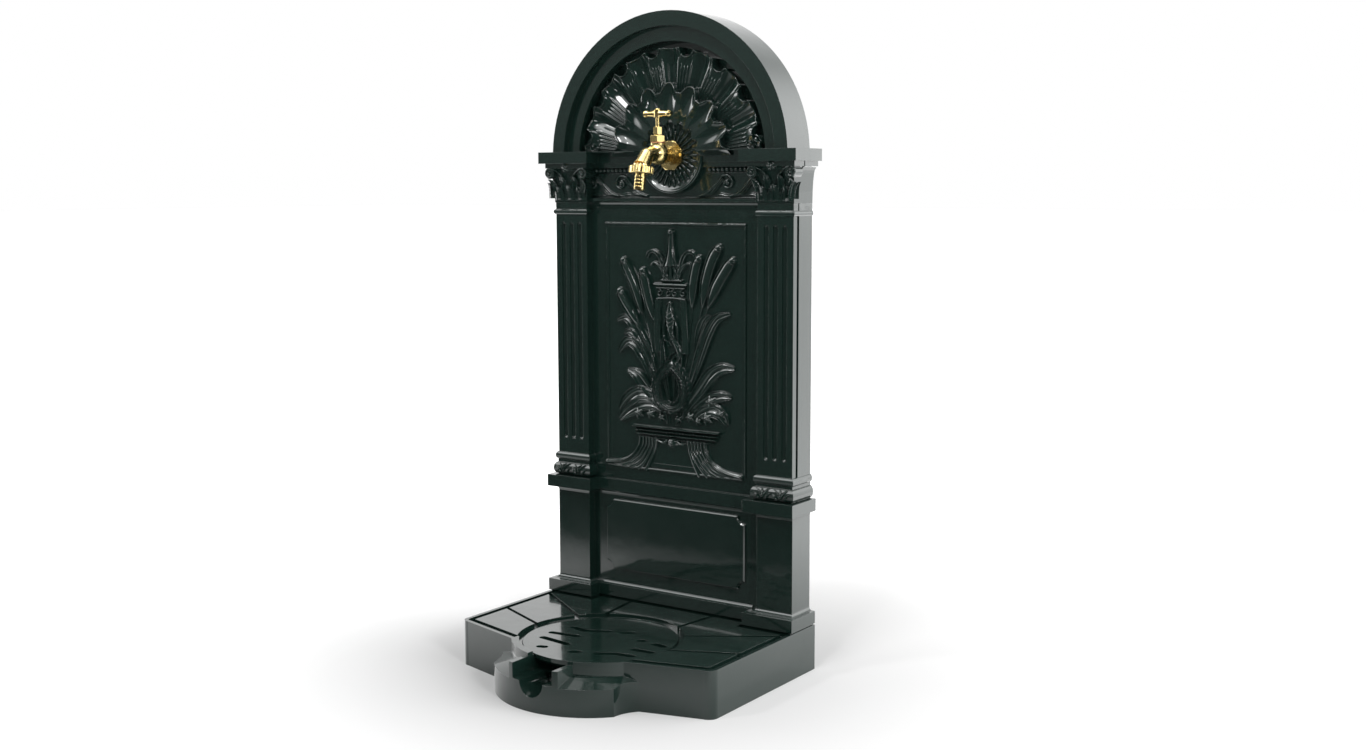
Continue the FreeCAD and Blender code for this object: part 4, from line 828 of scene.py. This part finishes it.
def on_tier(edge, height):
    """Places points above a tier of the scallop."""
    def place(u, v, h):
        a = math.atan2(v - SHELL_Z, u)
        share = min(1.0, math.hypot(u, v - SHELL_Z) / edge(a))
        return at(u, -SHELL_FLOOR - height(a, share) - h, v)
    return place


def make_shell():
    """Two tiers of hollow channels, the outer one with groups of fine ribs, each with a rolled rim, and a boss with
    a scroll at each end."""
    b = Builder()
    fan(b, [0.36 + 0.64 * t ** 0.85 for t in steps(73)], outer_edge, outer_height, 2.5)
    fan(b, [0.5 + 0.5 * t ** 0.85 for t in steps(57)], inner_edge, inner_height, -2.0)
    for edge, height in ((outer_edge, outer_height), (inner_edge, inner_height)):
        rim = [((edge(a) - 0.9) * math.cos(a), SHELL_Z + (edge(a) - 0.9) * math.sin(a)) for a in SHELL_ANGLES[4:-4]]
        b.ribbon(rim, 2.2, 1.4, on_tier(edge, height), sides=6, root=0.8)
    plane = flat(SHELL_BOSS_FRONT)
    for side, start in ((-1, math.pi), (1, 0)):
        u, v = side * 139, 753
        scroll = spiral(u, v, start, side * 1.6, 14.5, 2, 52)
        b.ribbon(scroll, between(6.0, 2.0, 52), between(10.0, 15.0, 52), plane)
        b.dome(u, v, 13.0, 12.0, plane, rings=8, sides=28)
        b.dome(u, v, 4.5, 16.0, plane, rings=6, sides=18)
    b.piece("scallop", smooth=70, replace=("shell_ornament",))


# Rosette

ROSETTE_SIDES = 120
ROSETTE_PROFILE = (      # radius and height of the disc, from its hole over its rim to its back
    (11.0, 3.0), (16, 4.4), (24, 5.6), (28, 5.4), (34, 5.0), (41, 5.2), (46, 6.0), (49, 7.4), (50.5, 9.6),
    (52.5, 10.3), (54.3, 9.4), (54.9, 7.5), (54.9, 0.4), (11.0, 0.4),
)
PETAL_RINGS = (          # number, inner and outer radius, width, foot, height and turn as a share of their pitch
    (30, 27, 46.5, 5.2, 4.4, 4.0, 0),
    (26, 19, 36, 4.4, 5.2, 4.6, 0.5),
)
PETAL_POINTS = 13


def on_disc(angle, foot=0):
    """Places points on a spoke of the rosette, u outwards, v across and h above the foot."""
    ca, sa = math.cos(angle), math.sin(angle)
    return lambda u, v, h: at(u * ca - v * sa, -PANEL_FRONT - foot - h, ROSETTE_Z + u * sa + v * ca)


def make_rosette():
    """A dished disc with a rolled rim and two rings of narrow petals."""
    b = Builder()
    rows = []
    for j in range(ROSETTE_SIDES):
        place = on_disc(2 * math.pi * j / ROSETTE_SIDES)
        rows.append([place(r, 0, h) for r, h in ROSETTE_PROFILE])
    rows.append(rows[0])
    b.grid(rows)
    shape = [0.35 + 0.65 * math.sin(math.pi * min(1.0, t ** 0.8)) ** 0.5 for t in steps(PETAL_POINTS)]
    for count, r0, r1, width, foot, height, shift in PETAL_RINGS:
        line = [(r, 0.0) for r in between(r0, r1, PETAL_POINTS)]
        heights = [height * s * (1 + 0.5 * t) for s, t in zip(shape, steps(PETAL_POINTS))]
        for k in range(count):
            place = on_disc(2 * math.pi * (k + shift) / count, foot)
            b.ribbon(line, scaled(shape, width), heights, place, ridge=-0.45, sides=6)
    b.piece("rosette_petals", replace=("rosette",))


# Floor, backdrop and light

FLOOR_HALF = 40.0
FLOOR_TONE = 0.66
GLOW_NEAR, GLOW_FAR = (0.12, 0.05), (1.15, 1.0)        # distance from the part in metres, and glow there
DIM_START, DIM_END, DIM_MOST = 0.2, 0.42, 0.97
WORLD_BASE = 0.045
SKY_TONE = 1.0

# Soft lights of the backdrop: direction, cosines where each one starts and is full, strength, and whether only
# glossy rays see it
LOBES = (
    ((0.0, 1.0, 0.0), -0.1, 0.45, 1.0, False),
    ((0.9, 0.45, 0.12), 0.45, 0.9, 2.0, False),
    ((0.9, 0.45, 0.12), 0.5, 0.9, 0.4, True),
    ((-0.55, -0.8, 0.5), 0.81, 0.96, 0.3, True),
    ((-0.37, -0.55, 0.75), 0.86, 0.95, 4.2, True),
    ((0.0, -0.1, 1.0), 0.85, 0.95, 2.6, True),
    ((-0.98, 0.0, 0.15), 0.84, 0.97, 1.8, True),
)

# Disc lamps: name, place, the point each one faces, size in metres and power in watts
LAMPS = (
    ("key", (-1.1, -1.9, 2.3), (0, 0.1, 0.5), 0.42, 11),
    ("left", (-2.3, -0.3, 1.3), (0, 0.1, 0.5), 1.0, 9),
    ("fill", (2.4, -1.3, 1.3), (0, 0, 0.4), 0.5, 12),
    ("top", (0.2, -0.9, 2.7), (0, 0, 0.5), 0.5, 16),
    ("front", (0.7, -2.3, 1.6), (0, 0, 0.5), 0.3, 5),
)


def make_floor_material():
    """A grey floor that takes the shadow near the part and glows to white with distance, for the camera and for
    reflections. Reflections see it twice as bright, but dark in front of the part."""
    n = new_material("floor")
    rays = n.add("ShaderNodeLightPath").outputs
    camera, glossy = rays["Is Camera Ray"], rays["Is Glossy Ray"]
    tone = (FLOOR_TONE, FLOOR_TONE, FLOOR_TONE, 1)
    diffuse = n.add("ShaderNodeBsdfDiffuse", {"Color": tone, "Roughness": 1.0}).outputs["BSDF"]
    distance = n.add("ShaderNodeVectorMath", {0: n.coordinates}, operation="LENGTH").outputs["Value"]
    fade = n.ramp(distance, GLOW_NEAR[1], GLOW_FAR[1], start=GLOW_NEAR[0], end=GLOW_FAR[0])
    strength = n.maths("MULTIPLY", fade, n.maths("MULTIPLY_ADD", glossy, 1.0, 1.0))
    glow = n.add("ShaderNodeEmission", {"Color": WHITE, "Strength": strength}).outputs["Emission"]
    black = n.add("ShaderNodeEmission", {"Strength": 0.0}).outputs["Emission"]
    seen = n.maths("MAXIMUM", camera, glossy)
    extra = n.add("ShaderNodeMixShader", {"Fac": seen, 1: black, 2: glow}).outputs[0]
    lit = n.add("ShaderNodeAddShader", {0: diffuse, 1: extra}).outputs[0]
    in_front = n.ramp(n.along((0, -1, 0)), 0.0, DIM_MOST, start=DIM_START, end=DIM_END)
    dim = n.maths("MULTIPLY", in_front, glossy)
    return n.finish(n.add("ShaderNodeMixShader", {"Fac": dim, 1: lit, 2: black}).outputs[0])


def make_stage():
    mesh = bpy.data.meshes.new("floor")
    corners = [(x * FLOOR_HALF, y * FLOOR_HALF, 0) for x, y in ((-1, -1), (1, -1), (1, 1), (-1, 1))]
    mesh.from_pydata(corners, [], [(0, 1, 2, 3)])
    floor = bpy.data.objects.new("floor", mesh)
    mesh.materials.append(make_floor_material())
    bpy.context.scene.collection.objects.link(floor)


def make_world():
    """A white backdrop for the camera, and a dark studio with soft lights for all other rays."""
    world = bpy.data.worlds.new("studio")
    bpy.context.scene.world = world
    n = Nodes(world, "ShaderNodeOutputWorld", "Generated")
    rays = n.add("ShaderNodeLightPath").outputs
    total = None
    for axis, start, end, strength, in_gloss in LOBES:
        light = n.ramp(n.along(Vector(axis).normalized()), 0.0, strength, start, end, "SMOOTHSTEP")
        if in_gloss:
            light = n.maths("MULTIPLY", light, rays["Is Glossy Ray"])
        total = light if total is None else n.maths("ADD", total, light)
    total = n.maths("ADD", total, WORLD_BASE)
    pick = n.add("ShaderNodeMix", {0: rays["Is Camera Ray"], 2: total, 3: SKY_TONE}, data_type="FLOAT").outputs[0]
    n.finish(n.add("ShaderNodeBackground", {"Color": WHITE, "Strength": pick}).outputs[0])


def make_lights():
    for name, spot, target, size, energy in LAMPS:
        data = bpy.data.lights.new(name, "AREA")
        data.shape = "DISK"
        data.size = size
        data.energy = energy
        lamp = bpy.data.objects.new(name, data)
        lamp.location = spot
        lamp.rotation_mode = "QUATERNION"
        lamp.rotation_quaternion = (Vector(target) - Vector(spot)).to_track_quat("-Z", "Y")
        bpy.context.scene.collection.objects.link(lamp)


make_camera()
dress_nodes()
make_relief()
make_panel_seams()
make_frieze()
make_capitals()
make_base_leaves()
make_shell()
make_rosette()
make_stage()
make_world()
make_lights()
bpy.context.scene.view_settings.view_transform = "Standard"
